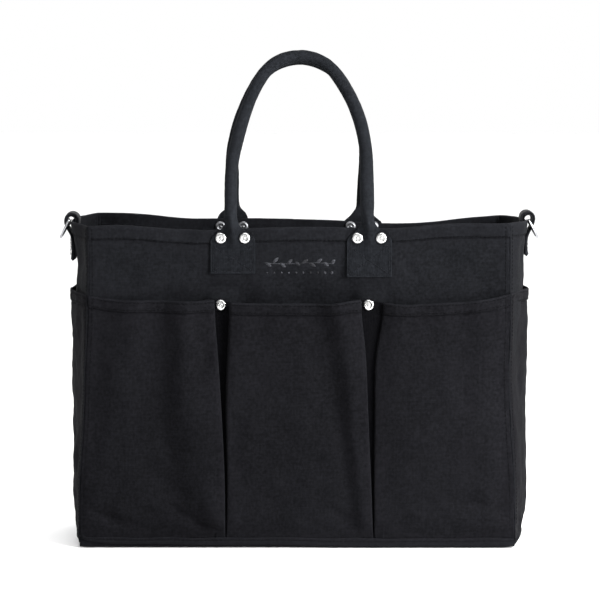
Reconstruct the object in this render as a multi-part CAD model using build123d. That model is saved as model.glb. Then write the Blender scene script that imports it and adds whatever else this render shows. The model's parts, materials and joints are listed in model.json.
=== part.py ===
"""A canvas garden tool bag: an open tote with outer pockets all round, two rope-cored handles and two strap rings.

Millimetres. +Z is up, the front faces -Y, and the origin is the middle of the base where the bag stands.
"""

import os
from math import asin, cos, degrees, radians, sin

from build123d import *

# Canvas body
CLOTH = 1.5  # one layer of heavy canvas
SEAM_X = 217.0  # from the middle to the corner seams of the front and back panels
HALF_DEPTH = 75.0  # from the middle to the outer face of the front and back panels
GUSSET_BULGE = 20.0  # how far the side gussets stand out past the corner seams
RIM_Z = 335.0
RIM_HEM = 13.0  # height of the turned hem at the rim

# Base seam
BINDING_IN = 2.0  # the binding's inner face, outside the body's outline
BINDING_OUT = 3.5
BINDING_H = 15.0

# Pockets
MOUTH_Z = 258.0  # front and back pockets
BAY_FLOOR_Z = 15.0
BAY_GAP_FLOOR = 1.0  # space behind a pocket's cloth at its floor
BAY_GAP_MOUTH = 15.0  # and at its mouth
PLEAT_FLOOR = 3.0  # width of a pleat's opening at the floor
PLEAT_MOUTH = 14.0  # and at the mouth
PLEAT_X = 75.5  # where the pleats meet the base
FRONT_PLEATS = ((-PLEAT_X, -80.5), (PLEAT_X, 71.5))  # (x at the base, x at the mouth): the front cloth sways
BACK_PLEATS = ((-PLEAT_X, -PLEAT_X), (PLEAT_X, PLEAT_X))
SIDE_MOUTH_Z = 264.0
SIDE_GAP_FLOOR = 0.1
SIDE_GAP_MOUTH = 6.5

# Handles
HANDLE_X = 70.0  # from the middle to each leg
HANDLE_HEIGHT = 174.0  # from the bend at the tabs to the middle of the grip, along the handle
HANDLE_CROWN = 47.0  # radius of the arch at the grip
HANDLE_LEG = 50.0  # straight stretch of each leg
TUBE_R = 7.0
CORE_R = 5.4
CORE_BORE_R = 5.5
CORE_START = 22.0  # each end of the rope is this far from the bend
BEND_Y = 82.5  # the handle bends here, in front of the panel
BEND_Z = 349.0
HANDLE_TOUCH = 0.4  # half the gap between the two handles where they lean together

# Handle tabs
TAB_W = 46.0
TAB_SHIFT = 2.2  # each tab is sewn this far to the right of its leg, seen from outside
TAB_T = 2 * CLOTH
TAB_LOW_Z = 285.0
TAB_SHOULDER_Z = 331.5
TAB_TOP_Z = 341.5
TAB_TOP_W = 22.0

# Rivets
RIVET_R = 5.8
RIVET_H = 2.6
POST_R = 1.55
POST_HOLE_R = 1.6
POST_BITE = 1.2  # how far a post goes into the back cap
RIVET_X = 12.2  # from the middle of a tab to each rivet
HANDLE_RIVET_Z = 322.5
POCKET_RIVET_Z = 253.5

# Strap rings and the webbing that holds them
WIRE_R = 1.4
RING_HALF_W = 14.4  # to the middle of the wire
RING_CORNER_R = 2.0
RING_SHOULDER = 6.8  # from the bar to where the bow starts
RING_LEAN = 27.6  # degrees out from hanging straight down
BAR_X = 240.5
BAR_Z = 336.0
WEB_HALF_W = 12.0
WEB_T = 1.6
WEB_EYE_R = 6.5

OUTER_X = SEAM_X + GUSSET_BULGE


# Helpers

def plan_face(grow=0.0, bulge=GUSSET_BULGE):
    """The body's outline seen from above, grown outwards by grow."""
    right = ((SEAM_X, -HALF_DEPTH), (SEAM_X + bulge, 0), (SEAM_X, HALF_DEPTH))
    left = [(-x, -y) for x, y in right]
    outline = [
        Line(left[2], right[0]),
        ThreePointArc(*right),
        Line(right[2], left[0]),
        ThreePointArc(*left),
    ]
    face = make_face(outline)
    return offset(face, amount=grow, kind=Kind.INTERSECTION) if grow else face


def wall(inner, outer, low, high):
    """A wall that follows the body's outline from low to high, between two growths of the outline."""
    ring = plan_face(outer) - plan_face(inner)
    return Pos(0, 0, low) * extrude(ring, high - low)


def block(x0, x1, y0, y1, z0, z1):
    return Pos((x0 + x1) / 2, (y0 + y1) / 2, (z0 + z1) / 2) * Box(x1 - x0, y1 - y0, z1 - z0)


def rod_y(x, z, radius, y0, y1):
    """A round rod along Y from y0 to y1."""
    middle = Pos(x, (y0 + y1) / 2, z) * Rot(90, 0, 0)
    return middle * Cylinder(radius, abs(y1 - y0))


def turned(shape):
    """The same shape at the back of the bag."""
    return Rot(0, 0, 180) * shape


# Body panels

BIG = 400.0


def body_wall():
    """All four upright panels as one ring, with the hem folded inwards at the rim."""
    return wall(-CLOTH, 0, CLOTH, RIM_Z) + wall(-2 * CLOTH, -CLOTH, RIM_Z - RIM_HEM, RIM_Z)


def front_panel():
    panel = body_wall() & block(-SEAM_X, SEAM_X, -BIG, -HALF_DEPTH / 2, 0, BIG)
    return panel - handle_rivet_holes() - pocket_rivet_holes(FRONT_PLEATS)


def back_panel():
    panel = body_wall() & block(-SEAM_X, SEAM_X, -BIG, -HALF_DEPTH / 2, 0, BIG)
    return turned(panel - handle_rivet_holes() - pocket_rivet_holes(BACK_PLEATS))


def right_gusset():
    return body_wall() & block(SEAM_X, BIG, -BIG, BIG, 0, BIG)


def base_panel():
    return extrude(plan_face(BINDING_IN), CLOTH)


def base_binding():
    return wall(BINDING_IN, BINDING_OUT, 0, BINDING_H)


# Pockets

def bay_ends(pleats, place, pleat_width, inset):
    """The left and right ends of the three bays, at the floor (place 0) or the mouth (place 1)."""
    half = pleat_width / 2
    left_x, right_x = pleats[0][place], pleats[1][place]
    ends = [(-SEAM_X + 2, left_x - half), (left_x + half, right_x - half), (right_x + half, SEAM_X - 2)]
    return [(a + inset, b - inset) for a, b in ends]


def bay_slice(ends, depth, z):
    """A bay's level section, from the panel's face out to depth."""
    x0, x1 = ends
    return Pos((x0 + x1) / 2, -HALF_DEPTH - depth / 2, z) * Rectangle(x1 - x0, depth)


def bays(pleats, wall_t, inset, floor_z, mouth_z):
    """The three tapering bays of a pocket panel as solid wedges."""
    floors = bay_ends(pleats, 0, PLEAT_FLOOR, inset)
    mouths = bay_ends(pleats, 1, PLEAT_MOUTH, inset)
    sections = [
        [bay_slice(low, BAY_GAP_FLOOR + wall_t, floor_z), bay_slice(high, BAY_GAP_MOUTH + wall_t, mouth_z)]
        for low, high in zip(floors, mouths)
    ]
    return [loft(pair, ruled=True) for pair in sections]


def pocket_panel(pleats):
    """One cloth across the front: three bays that open upwards, with a pleat riveted down between each two."""
    shape = block(-SEAM_X, SEAM_X, -HALF_DEPTH - CLOTH, -HALF_DEPTH, CLOTH, MOUTH_Z)
    for outside in bays(pleats, CLOTH, 0, BAY_FLOOR_Z, MOUTH_Z):
        shape += outside
    for inside in bays(pleats, 0, CLOTH, BAY_FLOOR_Z + CLOTH, MOUTH_Z + 1):
        shape -= inside
    return shape - pocket_rivet_holes(pleats)


def side_slice(gap, z):
    """The level section from the corner seams out to a bulge gap past the gusset."""
    seam_front, seam_back = (SEAM_X, -HALF_DEPTH), (SEAM_X, HALF_DEPTH)
    arc = ThreePointArc(seam_front, (OUTER_X + gap, 0), seam_back)
    return Pos(0, 0, z) * make_face([arc, Line(seam_back, seam_front)])


def right_side_pocket():
    """The pocket on the right gusset, sewn in at both corner seams and open at the top."""
    outside = loft(
        [side_slice(SIDE_GAP_FLOOR + CLOTH, CLOTH), side_slice(SIDE_GAP_MOUTH + CLOTH, SIDE_MOUTH_Z)], ruled=True
    )
    inside = loft([side_slice(SIDE_GAP_FLOOR, CLOTH), side_slice(SIDE_GAP_MOUTH, SIDE_MOUTH_Z)], ruled=True)
    keep = block(SEAM_X + 0.3, BIG, -BIG, BIG, 0, BIG)
    return (outside - inside) & keep


# Rivets

def rivet_cap():
    """A cap seen along -Y with its foot on Y = 0: a rounded ring round a dished middle with a small nub."""
    profile = [
        Line((0, 0), (RIVET_R, 0)),
        Line((RIVET_R, 0), (RIVET_R, 0.7)),
        ThreePointArc((RIVET_R, 0.7), (5.0, 2.1), (3.6, RIVET_H)),
        Line((3.6, RIVET_H), (2.2, 1.4)),
        Line((2.2, 1.4), (1.5, 1.4)),
        ThreePointArc((1.5, 1.4), (0, 2.2), (-1.5, 1.4)).trim(0, 0.5),
        Line((0, 2.2), (0, 0)),
    ]
    cap = revolve(make_face(profile), Axis.Y)
    return Rot(180, 0, 0) * cap


def outer_rivet(x, z, face_y, back_y):
    """A cap on the outside with its post, which ends inside the back cap."""
    return Pos(x, face_y, z) * rivet_cap() + rod_y(x, z, POST_R, face_y - 0.5, back_y + POST_BITE)


def inner_rivet(x, z, back_y):
    """The cap inside the bag, with a blind hole for the post."""
    cap = Pos(x, back_y, z) * (Rot(180, 0, 0) * rivet_cap())
    return cap - rod_y(x, z, POST_HOLE_R, back_y - 1, back_y + POST_BITE + 0.05)


def handle_rivet_places():
    """Where the four rivets of one handle go, as x."""
    return [side * HANDLE_X + TAB_SHIFT + end * RIVET_X for side in (-1, 1) for end in (-1, 1)]


def handle_rivet_holes():
    return [rod_y(x, HANDLE_RIVET_Z, POST_HOLE_R, -HALF_DEPTH - 10, -HALF_DEPTH + 10) for x in handle_rivet_places()]


def pocket_rivet_x(pleat):
    """A pleat's middle at the height of its rivet."""
    base_x, mouth_x = pleat
    share = (POCKET_RIVET_Z - BAY_FLOOR_Z) / (MOUTH_Z - BAY_FLOOR_Z)
    return base_x + (mouth_x - base_x) * share


def pocket_rivet_holes(pleats):
    return [
        rod_y(pocket_rivet_x(p), POCKET_RIVET_Z, POST_HOLE_R, -HALF_DEPTH - 10, -HALF_DEPTH + 10) for p in pleats
    ]


TAB_FACE_Y = -HALF_DEPTH - TAB_T
HEM_BACK_Y = -HALF_DEPTH + 2 * CLOTH
STRIP_FACE_Y = -HALF_DEPTH - CLOTH
PANEL_BACK_Y = -HALF_DEPTH + CLOTH


def both_faces(front, back):
    """Rivets of the front and of the back as one node of separate solids."""
    return Compound(children=[*front, *[turned(r) for r in back]])


def handle_rivet_caps():
    one = [outer_rivet(x, HANDLE_RIVET_Z, TAB_FACE_Y, HEM_BACK_Y) for x in handle_rivet_places()]
    return both_faces(one, one)


def handle_rivet_backs():
    one = [inner_rivet(x, HANDLE_RIVET_Z, HEM_BACK_Y) for x in handle_rivet_places()]
    return both_faces(one, one)


def pocket_rivet_caps():
    made = [
        [outer_rivet(pocket_rivet_x(p), POCKET_RIVET_Z, STRIP_FACE_Y, PANEL_BACK_Y) for p in pleats]
        for pleats in (FRONT_PLEATS, BACK_PLEATS)
    ]
    return both_faces(*made)


def pocket_rivet_backs():
    made = [
        [inner_rivet(pocket_rivet_x(p), POCKET_RIVET_Z, PANEL_BACK_Y) for p in pleats]
        for pleats in (FRONT_PLEATS, BACK_PLEATS)
    ]
    return both_faces(*made)


# Handles

def handle_tab(side):
    """The flat end of a handle, sewn and riveted on the panel: side is -1 for left and 1 for right."""
    half, top = TAB_W / 2, TAB_TOP_W / 2
    outline = [(-half, TAB_LOW_Z), (half, TAB_LOW_Z), (half, TAB_SHOULDER_Z), (top, TAB_TOP_Z)]
    outline += [(-top, TAB_TOP_Z), (-half, TAB_SHOULDER_Z)]
    face = Plane.XZ * make_face(Polyline(*outline, close=True))
    plate = Pos(side * HANDLE_X + TAB_SHIFT, -HALF_DEPTH, 0) * extrude(face, TAB_T)
    return plate - handle_rivet_holes()


def handle_path():
    """The rope's middle line, upright in the XZ plane with the handle's bend at z = 0."""
    crown_z = HANDLE_HEIGHT - HANDLE_CROWN
    rise = crown_z - HANDLE_LEG
    side_r = (HANDLE_X**2 + rise**2 - HANDLE_CROWN**2) / (2 * (HANDLE_X - HANDLE_CROWN))
    side_angle = degrees(asin(rise / (side_r - HANDLE_CROWN)))
    leg = Line((HANDLE_X, CORE_START), (HANDLE_X, HANDLE_LEG))
    side = JernArc(leg @ 1, (0, 1), side_r, side_angle)
    crown = JernArc(side @ 1, side % 1, HANDLE_CROWN, 2 * (90 - side_angle))
    far_side = JernArc(crown @ 1, crown % 1, side_r, side_angle)
    far_leg = Line(far_side @ 1, (-HANDLE_X, CORE_START))
    return Plane.XZ * Wire([leg, side, crown, far_side, far_leg])


def along_handle(section):
    path = handle_path()
    return sweep(Plane(path @ 0, z_dir=path % 0) * section, path=path)


def cover_end():
    """The foot of a leg, where the tube is sewn flat inside: solid, with a rounded end at the bend."""
    round_end = ThreePointArc((TUBE_R, 0), (TUBE_R * cos(radians(45)), -TUBE_R * sin(radians(45))), (0, -TUBE_R))
    profile = [
        Line((0, CORE_START), (TUBE_R, CORE_START)),
        Line((TUBE_R, CORE_START), (TUBE_R, 0)),
        round_end,
        Line((0, -TUBE_R), (0, CORE_START)),
    ]
    return revolve(Plane.XZ * make_face(profile), Axis.Z)


def at_front(handle):
    """Leans an upright handle inwards about its bend, so that the two handles meet over the bag."""
    lean = degrees(asin((BEND_Y - TUBE_R - HANDLE_TOUCH) / HANDLE_HEIGHT))
    return Pos(0, -BEND_Y, BEND_Z) * Rot(-lean, 0, 0) * handle


def handle_cover():
    """The canvas tube round the rope."""
    ends = [Pos(side * HANDLE_X, 0, 0) * cover_end() for side in (-1, 1)]
    return at_front(along_handle(Circle(TUBE_R) - Circle(CORE_BORE_R)) + ends)


def handle_core():
    return at_front(along_handle(Circle(CORE_R)))


# Strap rings

def ring_path():
    """The wire's middle line in the YX plane: the bar along Y at x = 0, the bow towards +X."""
    w, r, shoulder = RING_HALF_W, RING_CORNER_R, RING_SHOULDER
    corner_mid = r * (1 - cos(radians(45)))
    return Wire(
        [
            Line((0, -w + r), (0, w - r)),
            ThreePointArc((0, w - r), (corner_mid, w - corner_mid), (r, w)),
            Line((r, w), (shoulder, w)),
            ThreePointArc((shoulder, w), (shoulder + w, 0), (shoulder, -w)),
            Line((shoulder, -w), (r, -w)),
            ThreePointArc((r, -w), (corner_mid, -w + corner_mid), (0, -w + r)),
        ]
    )


def right_d_ring():
    """A D-shaped wire ring whose bar lies in the webbing's eye and whose bow leans out and down."""
    path = ring_path()
    start = Plane(origin=path @ 0.0, z_dir=path % 0.0)
    ring = sweep(start * Circle(WIRE_R), path=path)
    return Pos(BAR_X, 0, BAR_Z) * Rot(0, 90 - RING_LEAN, 0) * ring


def right_ring_webbing():
    """Webbing sewn inside the gusset, looped over the rim round the ring's bar, and sewn down outside."""
    outside_x = OUTER_X + 0.1 + WEB_T / 2
    inside_x = OUTER_X - 2 * CLOTH - 0.6 - WEB_T / 2
    eye = WEB_EYE_R + WEB_T / 2
    eye_x, eye_z = (inside_x + outside_x) / 2 + 3.5, RIM_Z + 1.0
    points = [
        (outside_x, 296.0),
        (outside_x, 320.0),
        (eye_x + eye, eye_z - 4.0),
        (eye_x + eye, eye_z + eye),
        (eye_x - eye, eye_z + eye),
        (inside_x, eye_z - 6.0),
        (inside_x, 300.0),
    ]
    path = Plane.XZ * FilletPolyline(*points, radius=[6.0, 6.0, eye - 0.8, eye - 0.8, 6.0])
    section = Plane(path @ 0, z_dir=(0, 0, 1), x_dir=(0, 1, 0)) * Rectangle(2 * WEB_HALF_W, WEB_T)
    return sweep(section, path=path)


# Assembly

def mirrored(shape):
    """The left-hand copy of a right-hand part."""
    return mirror(shape, about=Plane.YZ)


def parts():
    cover, core = handle_cover(), handle_core()
    ring, webbing = right_d_ring(), right_ring_webbing()
    gusset, side_pocket = right_gusset(), right_side_pocket()
    tabs = {"left": handle_tab(-1), "right": handle_tab(1)}
    made = {
        "front_panel": front_panel(),
        "back_panel": back_panel(),
        "right_gusset": gusset,
        "left_gusset": mirrored(gusset),
        "base_panel": base_panel(),
        "base_binding": base_binding(),
        "front_pocket_panel": pocket_panel(FRONT_PLEATS),
        "back_pocket_panel": turned(pocket_panel(BACK_PLEATS)),
        "right_side_pocket": side_pocket,
        "left_side_pocket": mirrored(side_pocket),
        "front_handle_cover": cover,
        "front_handle_core": core,
        "rear_handle_cover": turned(cover),
        "rear_handle_core": turned(core),
        "handle_rivet_caps": handle_rivet_caps(),
        "handle_rivet_backs": handle_rivet_backs(),
        "pocket_rivet_caps": pocket_rivet_caps(),
        "pocket_rivet_backs": pocket_rivet_backs(),
        "right_d_ring": ring,
        "left_d_ring": mirrored(ring),
        "right_ring_webbing": webbing,
        "left_ring_webbing": mirrored(webbing),
    }
    for side, tab in tabs.items():
        made[f"front_{side}_handle_tab"] = tab
        other = "right" if side == "left" else "left"
        made[f"rear_{other}_handle_tab"] = turned(tab)
    return made


os.makedirs("parts", exist_ok=True)
for name, shape in parts().items():
    export_step(shape, f"parts/{name}.step")
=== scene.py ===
"""Looks of the garden tool bag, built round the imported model. Lengths are in mm until a mesh is made."""

import json
from math import asin, cos, pi, radians, sin, tau

import bpy
import numpy as np
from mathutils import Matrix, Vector


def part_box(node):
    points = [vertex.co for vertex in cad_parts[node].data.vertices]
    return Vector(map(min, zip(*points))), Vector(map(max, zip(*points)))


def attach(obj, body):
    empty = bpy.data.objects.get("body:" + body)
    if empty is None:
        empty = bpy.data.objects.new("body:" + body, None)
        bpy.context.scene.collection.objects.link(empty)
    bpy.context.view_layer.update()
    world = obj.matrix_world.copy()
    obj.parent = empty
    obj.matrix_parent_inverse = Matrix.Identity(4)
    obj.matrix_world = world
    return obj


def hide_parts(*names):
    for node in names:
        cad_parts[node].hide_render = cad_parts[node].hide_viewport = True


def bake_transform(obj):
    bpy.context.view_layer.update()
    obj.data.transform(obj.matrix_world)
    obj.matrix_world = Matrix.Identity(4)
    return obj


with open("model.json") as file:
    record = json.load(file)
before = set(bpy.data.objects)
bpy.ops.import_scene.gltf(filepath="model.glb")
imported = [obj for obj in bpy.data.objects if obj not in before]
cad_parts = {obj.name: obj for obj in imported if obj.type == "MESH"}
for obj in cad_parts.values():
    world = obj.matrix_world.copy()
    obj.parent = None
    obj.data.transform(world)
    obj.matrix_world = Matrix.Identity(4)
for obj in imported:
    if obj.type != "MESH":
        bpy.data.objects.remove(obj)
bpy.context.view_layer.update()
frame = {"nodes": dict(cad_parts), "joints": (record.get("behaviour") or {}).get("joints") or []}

MM = 0.001


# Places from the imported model

def edge(node, end, axis):
    """One side of a CAD node's box: end is 0 for the low side and 1 for the high one."""
    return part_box(node)[end][axis] / MM


SEAM_X = edge("front_panel", 1, 0)
HALF_DEPTH = -edge("front_panel", 0, 1)
RIM_Z = edge("front_panel", 1, 2)
MOUTH_Z = edge("front_pocket_panel", 1, 2)
SIDE_MOUTH_Z = edge("right_side_pocket", 1, 2)
TAB_LOW_Z = edge("front_left_handle_tab", 0, 2)
LEG_X = 70.0  # from the middle to each leg of a handle
TAB_SHIFT = (edge("front_right_handle_tab", 0, 0) + edge("front_right_handle_tab", 1, 0)) / 2 - LEG_X
TAB_FACE = -edge("front_left_handle_tab", 0, 1)
JOINTS = {j["name"]: [v / MM for v in j["pos_m"]] for j in frame["joints"]}
BEND_Y, BEND_Z = -JOINTS["front_handle_swing"][1], JOINTS["front_handle_swing"][2]
TUBE_R = BEND_Z - edge("front_handle_cover", 0, 2)

CLOTH = 1.4
HEM = 13.0
POCKET_HEM = 11.0
FOOT_Z = 2.0


# Shape functions

def step(t):
    t = np.clip(t, 0, 1)
    return t * t * (3 - 2 * t)


def spline(knots, x):
    """A natural cubic spline through (x, value) knots, held level beyond its ends."""
    xs, ys = np.array(knots, float).T
    n, h = len(xs), np.diff(xs)
    a, r = np.eye(n), np.zeros(n)
    for i in range(1, n - 1):
        a[i, i - 1:i + 2] = h[i - 1], 2 * (h[i - 1] + h[i]), h[i]
        r[i] = 6 * ((ys[i + 1] - ys[i]) / h[i] - (ys[i] - ys[i - 1]) / h[i - 1])
    m = np.linalg.solve(a, r)
    x = np.clip(x, xs[0], xs[-1])
    k = np.clip(np.searchsorted(xs, x) - 1, 0, n - 2)
    p, q, w = xs[k + 1] - x, x - xs[k], h[k]
    from_low, from_high = (ys[k] / w - m[k] * w / 6) * p, (ys[k + 1] / w - m[k + 1] * w / 6) * q
    return (m[k] * p**3 + m[k + 1] * q**3) / (6 * w) + from_low + from_high


def waves(a, b, size, seed, along=1.0, count=20):
    """Seeded smooth noise of about unit height: features about size across, and along times longer in b."""
    rng = np.random.default_rng(seed)
    total = 0.0
    for _ in range(count):
        angle, phase = rng.uniform(0, tau, 2)
        k = tau / size * rng.uniform(0.6, 1.4)
        total = total + np.cos(k * (a * cos(angle) + b * sin(angle) / along) + phase)
    return total / np.sqrt(count / 2)


def crease(a, z, start, end, width, depth):
    """A soft valley along a line, fading at both ends."""
    (a0, z0), (a1, z1) = start, end
    da, dz = a1 - a0, z1 - z0
    t = np.clip(((a - a0) * da + (z - z0) * dz) / (da * da + dz * dz), 0, 1)
    away = np.hypot(a - a0 - t * da, z - z0 - t * dz)
    return -depth * np.exp(-((away / width) ** 2)) * np.sqrt(np.clip(4 * t * (1 - t), 0, 1))


def hollow(a, z, centre, size, depth):
    r2 = ((a - centre[0]) / size[0]) ** 2 + ((z - centre[1]) / size[1]) ** 2
    return -depth * (1.35 * np.exp(-r2) - 0.35 * np.exp(-r2 / 3))


# The bag's plain shape

SIDES = ("front", "right", "back", "left")
FACING_BACK = ("back", "left")


CORNER = ((5, 8.4), (50, 7.9), (75, 6.9), (103, 4.9), (134, 2.8), (176, 1.2), (215, 0.4), (250, 0.0),
          (340, 0.0))


def corner_x(z):
    """The corner seams stand wider apart towards the foot."""
    return SEAM_X + spline(CORNER, z)


def sway(z):
    """The foot stands a little to the left of the mouth."""
    return -2.0 * step((240 - np.asarray(z, float)) / 60)


GUSSET_SAG = {
    "right": ((2, 7.4), (20, 9.4), (50, 12.4), (90, 14.4), (130, 16.8), (180, 16.9), (230, 17.0), (262, 18.6),
              (285, 19.4), (304, 19.4), (318, 19.9), (335, 20.6)),
    "left": ((2, 2.2), (20, 4.8), (50, 7.8), (90, 9.6), (130, 12.0), (180, 14.2), (230, 16.2), (262, 17.3),
             (276, 17.2), (290, 16.0), (302, 16.6), (314, 18.8), (335, 20.6)),
}
POCKET_SAG = {
    "right": ((2, 10.6), (11, 11.2), (19, 12.2), (27, 13.6), (39, 15.0), (61, 15.9), (82, 17.1), (110, 19.0),
              (135, 20.3), (168, 20.2), (210, 19.6), (240, 19.5), (264, 20.9)),
    "left": ((2, 4.0), (13, 5.6), (24, 8.2), (34, 9.6), (61, 10.7), (82, 11.9), (125, 13.6), (168, 15.5),
             (210, 18.2), (231, 20.3), (264, 21.7)),
}


def wall_point(side, u, z, off, sag=None):
    """A point off mm outside a wall. u runs from 0 to 1 left to right as seen from outside."""
    u, z, off = np.broadcast_arrays(*(np.asarray(v, float) for v in (u, z, off)))
    t, half = 2 * u - 1, corner_x(z)
    if side in ("front", "back"):
        x, y = half * t, -(HALF_DEPTH + off)
    else:
        b = np.maximum(spline(sag or GUSSET_SAG[side], z), 0.5)
        r = (HALF_DEPTH**2 + b**2) / (2 * b)
        angle = np.arcsin(HALF_DEPTH / r) * t
        x, y = half - (r - b) + (r + off) * np.cos(angle), (r + off) * np.sin(angle)
    turn = -1 if side in FACING_BACK else 1
    return np.stack([turn * x + sway(z), turn * y, z], -1)


RIMS = {  # height of the rim along each wall
    "front": ((-217, 333.4), (-178, 334.4), (-150, 332.4), (-120, 330.2), (-95, 329.6), (-45, 331.6),
              (0, 332.9), (45, 332.3), (90, 331.4), (120, 333.2), (141, 335.2), (203, 336.4), (217, 336.8)),
    "right": ((-75, 336.8), (-45, 336.6), (0, 335.0), (45, 334.6), (75, 333.6)),
    "back": ((-217, 333.6), (-207, 333.0), (-185, 331.2), (-153, 327.5), (-120, 324.9), (-88, 325.0),
             (-44, 327.8), (0, 329.2), (42, 330.2), (96, 330.0), (129, 330.7), (150, 333.2), (194, 336.2),
             (217, 336.2)),
    "left": ((-75, 336.2), (-45, 335.8), (0, 335.0), (45, 334.4), (75, 333.4)),
}
MOUTHS = {  # and of the pocket mouths
    "front": ((-217, 262.5), (-195, 259.2), (-150, 258.2), (-100, 258.6), (-84, 258.8), (-74, 257.0),
              (-60, 255.8), (0, 255.0), (35, 255.8), (60, 258.8), (70, 258.4), (84, 256.0), (140, 255.2),
              (186, 258.6), (217, 264.0)),
    "back": ((-217, 263.0), (-190, 258.4), (-140, 256.6), (-84, 257.8), (-68, 257.8), (0, 255.6), (68, 257.8),
             (84, 257.8), (140, 256.2), (190, 258.8), (217, 262.6)),
    "right": ((-75, 264.4), (-40, 264.6), (0, 263.2), (40, 263.6), (75, 263.0)),
    "left": ((-75, 262.6), (-40, 263.4), (0, 263.0), (40, 264.0), (75, 262.6)),
}


def half_span(side):
    return SEAM_X if side in ("front", "back") else HALF_DEPTH


TAB_MIDDLE_Z = 318.0
POCKET_RIVET_SHIFT, POCKET_RIVET_X, POCKET_RIVET_Z = -2.5, 76.5, 253.5  # middle, and each one's place


def keep_flat(a, z):
    """0 where the rivets hold the cloth to its plain shape, 1 away from them."""
    tabs = np.exp(-(((np.abs(a - TAB_SHIFT) - LEG_X) / 28) ** 4) - ((z - TAB_MIDDLE_Z) / 30) ** 4)
    from_rivet = np.abs(a - POCKET_RIVET_SHIFT) - POCKET_RIVET_X
    pocket_rivets = np.exp(-((from_rivet / 17) ** 4) - ((z - POCKET_RIVET_Z) / 15) ** 4)
    return (1 - tabs) * (1 - pocket_rivets)


def tuck_behind_pocket(out, z):
    """Below the pocket mouths the wall keeps just inside its plain shape, clear of pocket and binding."""
    clear = step((z - 190) / 60)
    return out * clear - 0.5 * (1 - clear)


def panel_relief(side, a, z):
    """How far the body's cloth stands out of its plain shape."""
    span = half_span(side)
    seams = step((span - np.abs(a)) / 22)
    if side in ("front", "back"):
        seed = 11 if side == "front" else 23
        out = 1.1 * waves(a, z, 120, seed) + 0.45 * waves(a, z, 46, seed + 1)
        out = out + 0.13 * waves(a, z, 15, seed + 2)
        out = out - 5.4 * step((293 - z) / 34) * step((120 - np.abs(a + 12)) / 60) * step((z - 190) / 60)
        out = out + 1.6 * step((z - 300) / 30) * np.cos(a / 217 * pi * 1.5)
        if side == "front":
            out = out + hollow(a, z, (144, 298), (27, 15), 4.4)
            out = out + crease(a, z, (104, 306), (118, 286), 5, 2.0)
            out = out + crease(a, z, (-150, 306), (-108, 291), 7, 1.0)
            out = out + crease(a, z, (-205, 300), (-160, 280), 10, 1.2)
        else:
            out = out + hollow(a, z, (-130, 300), (30, 16), 2.4)
            out = out + crease(a, z, (100, 305), (150, 285), 7, 1.4)
        return tuck_behind_pocket(out, z) * seams * keep_flat(a, z)
    seed = 31 if side == "right" else 43
    out = 0.8 * waves(a, z, 80, seed, along=2.2) + 0.35 * waves(a, z, 30, seed + 1, along=1.6)
    out = out + 0.13 * waves(a, z, 14, seed + 2) - 1.5 * np.exp(-((a / 16) ** 2)) * step((330 - z) / 60)
    front, flare = (-40, 3.6) if side == "right" else (40, 1.6)
    out = out + flare * np.exp(-(((a - front) / 22) ** 2)) * step((z - 306) / 26)
    loop = np.exp(-((a / 18) ** 4) - ((z - 325) / 34) ** 4)
    return tuck_behind_pocket(out, z) * seams * (1 - loop)


def stitched_edge(d, hem, lines, a, seed):
    """The relief of a turned hem: a little proud, drawn in along its stitch lines, with small puckers."""
    out = 1.0 * (1 - step((d - hem + 0.3) / 0.9)) - 0.7 * np.exp(-(((d - hem - 0.9) / 0.9) ** 2))
    for line in lines:
        out = out - 0.42 * np.exp(-(((d - line) / 0.9) ** 2))
        out = out + 0.16 * waves(a, d * 2, 8, seed) * np.exp(-(((d - line) / 5) ** 2))
    return out


def panel_surface(side):
    """The outer face of a body panel as a function of u and of the distance down from the rim."""
    def surface(u, d):
        u, d = np.broadcast_arrays(np.asarray(u, float), np.asarray(d, float))
        a = (2 * u - 1) * half_span(side)
        z = FOOT_Z + (spline(RIMS[side], a) - FOOT_Z) * (1 - d / (RIM_Z - FOOT_Z))
        relief = panel_relief(side, a, z) + stitched_edge(d, HEM, (HEM - 0.6,), a, 60) * keep_flat(a, z)
        return wall_point(side, u, z, relief)
    return surface


def side_pocket_surface(side):
    def surface(u, d):
        u, d = np.broadcast_arrays(np.asarray(u, float), np.asarray(d, float))
        a = (2 * u - 1) * HALF_DEPTH
        foot = 6.0
        z = foot + (spline(MOUTHS[side], a) - foot) * (1 - d / (SIDE_MOUTH_Z - foot))
        seams = step((HALF_DEPTH - np.abs(a)) / 16)
        seed = 71 if side == "right" else 83
        relief = 0.8 * waves(a, z, 75, seed, along=2.4) + 0.4 * waves(a, z, 26, seed + 1, along=1.5)
        relief = relief + 0.14 * waves(a, z, 13, seed + 2)
        relief = relief + 1.4 * step((z - 60) / 120) * np.cos(a / HALF_DEPTH * pi * 1.5)
        for start, end in (((-60, 46), (-20, 22)), ((62, 60), (28, 24))):
            relief = relief + crease(a, z, start, end, 6, 2.0)
        relief = relief + stitched_edge(d, POCKET_HEM, (1.8, POCKET_HEM - 1.4), a, seed + 3)
        return wall_point(side, u, z, 0.9 + relief * seams, POCKET_SAG[side])
    return surface


# Front and back pockets: one cloth, folded under itself at each pleat

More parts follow.
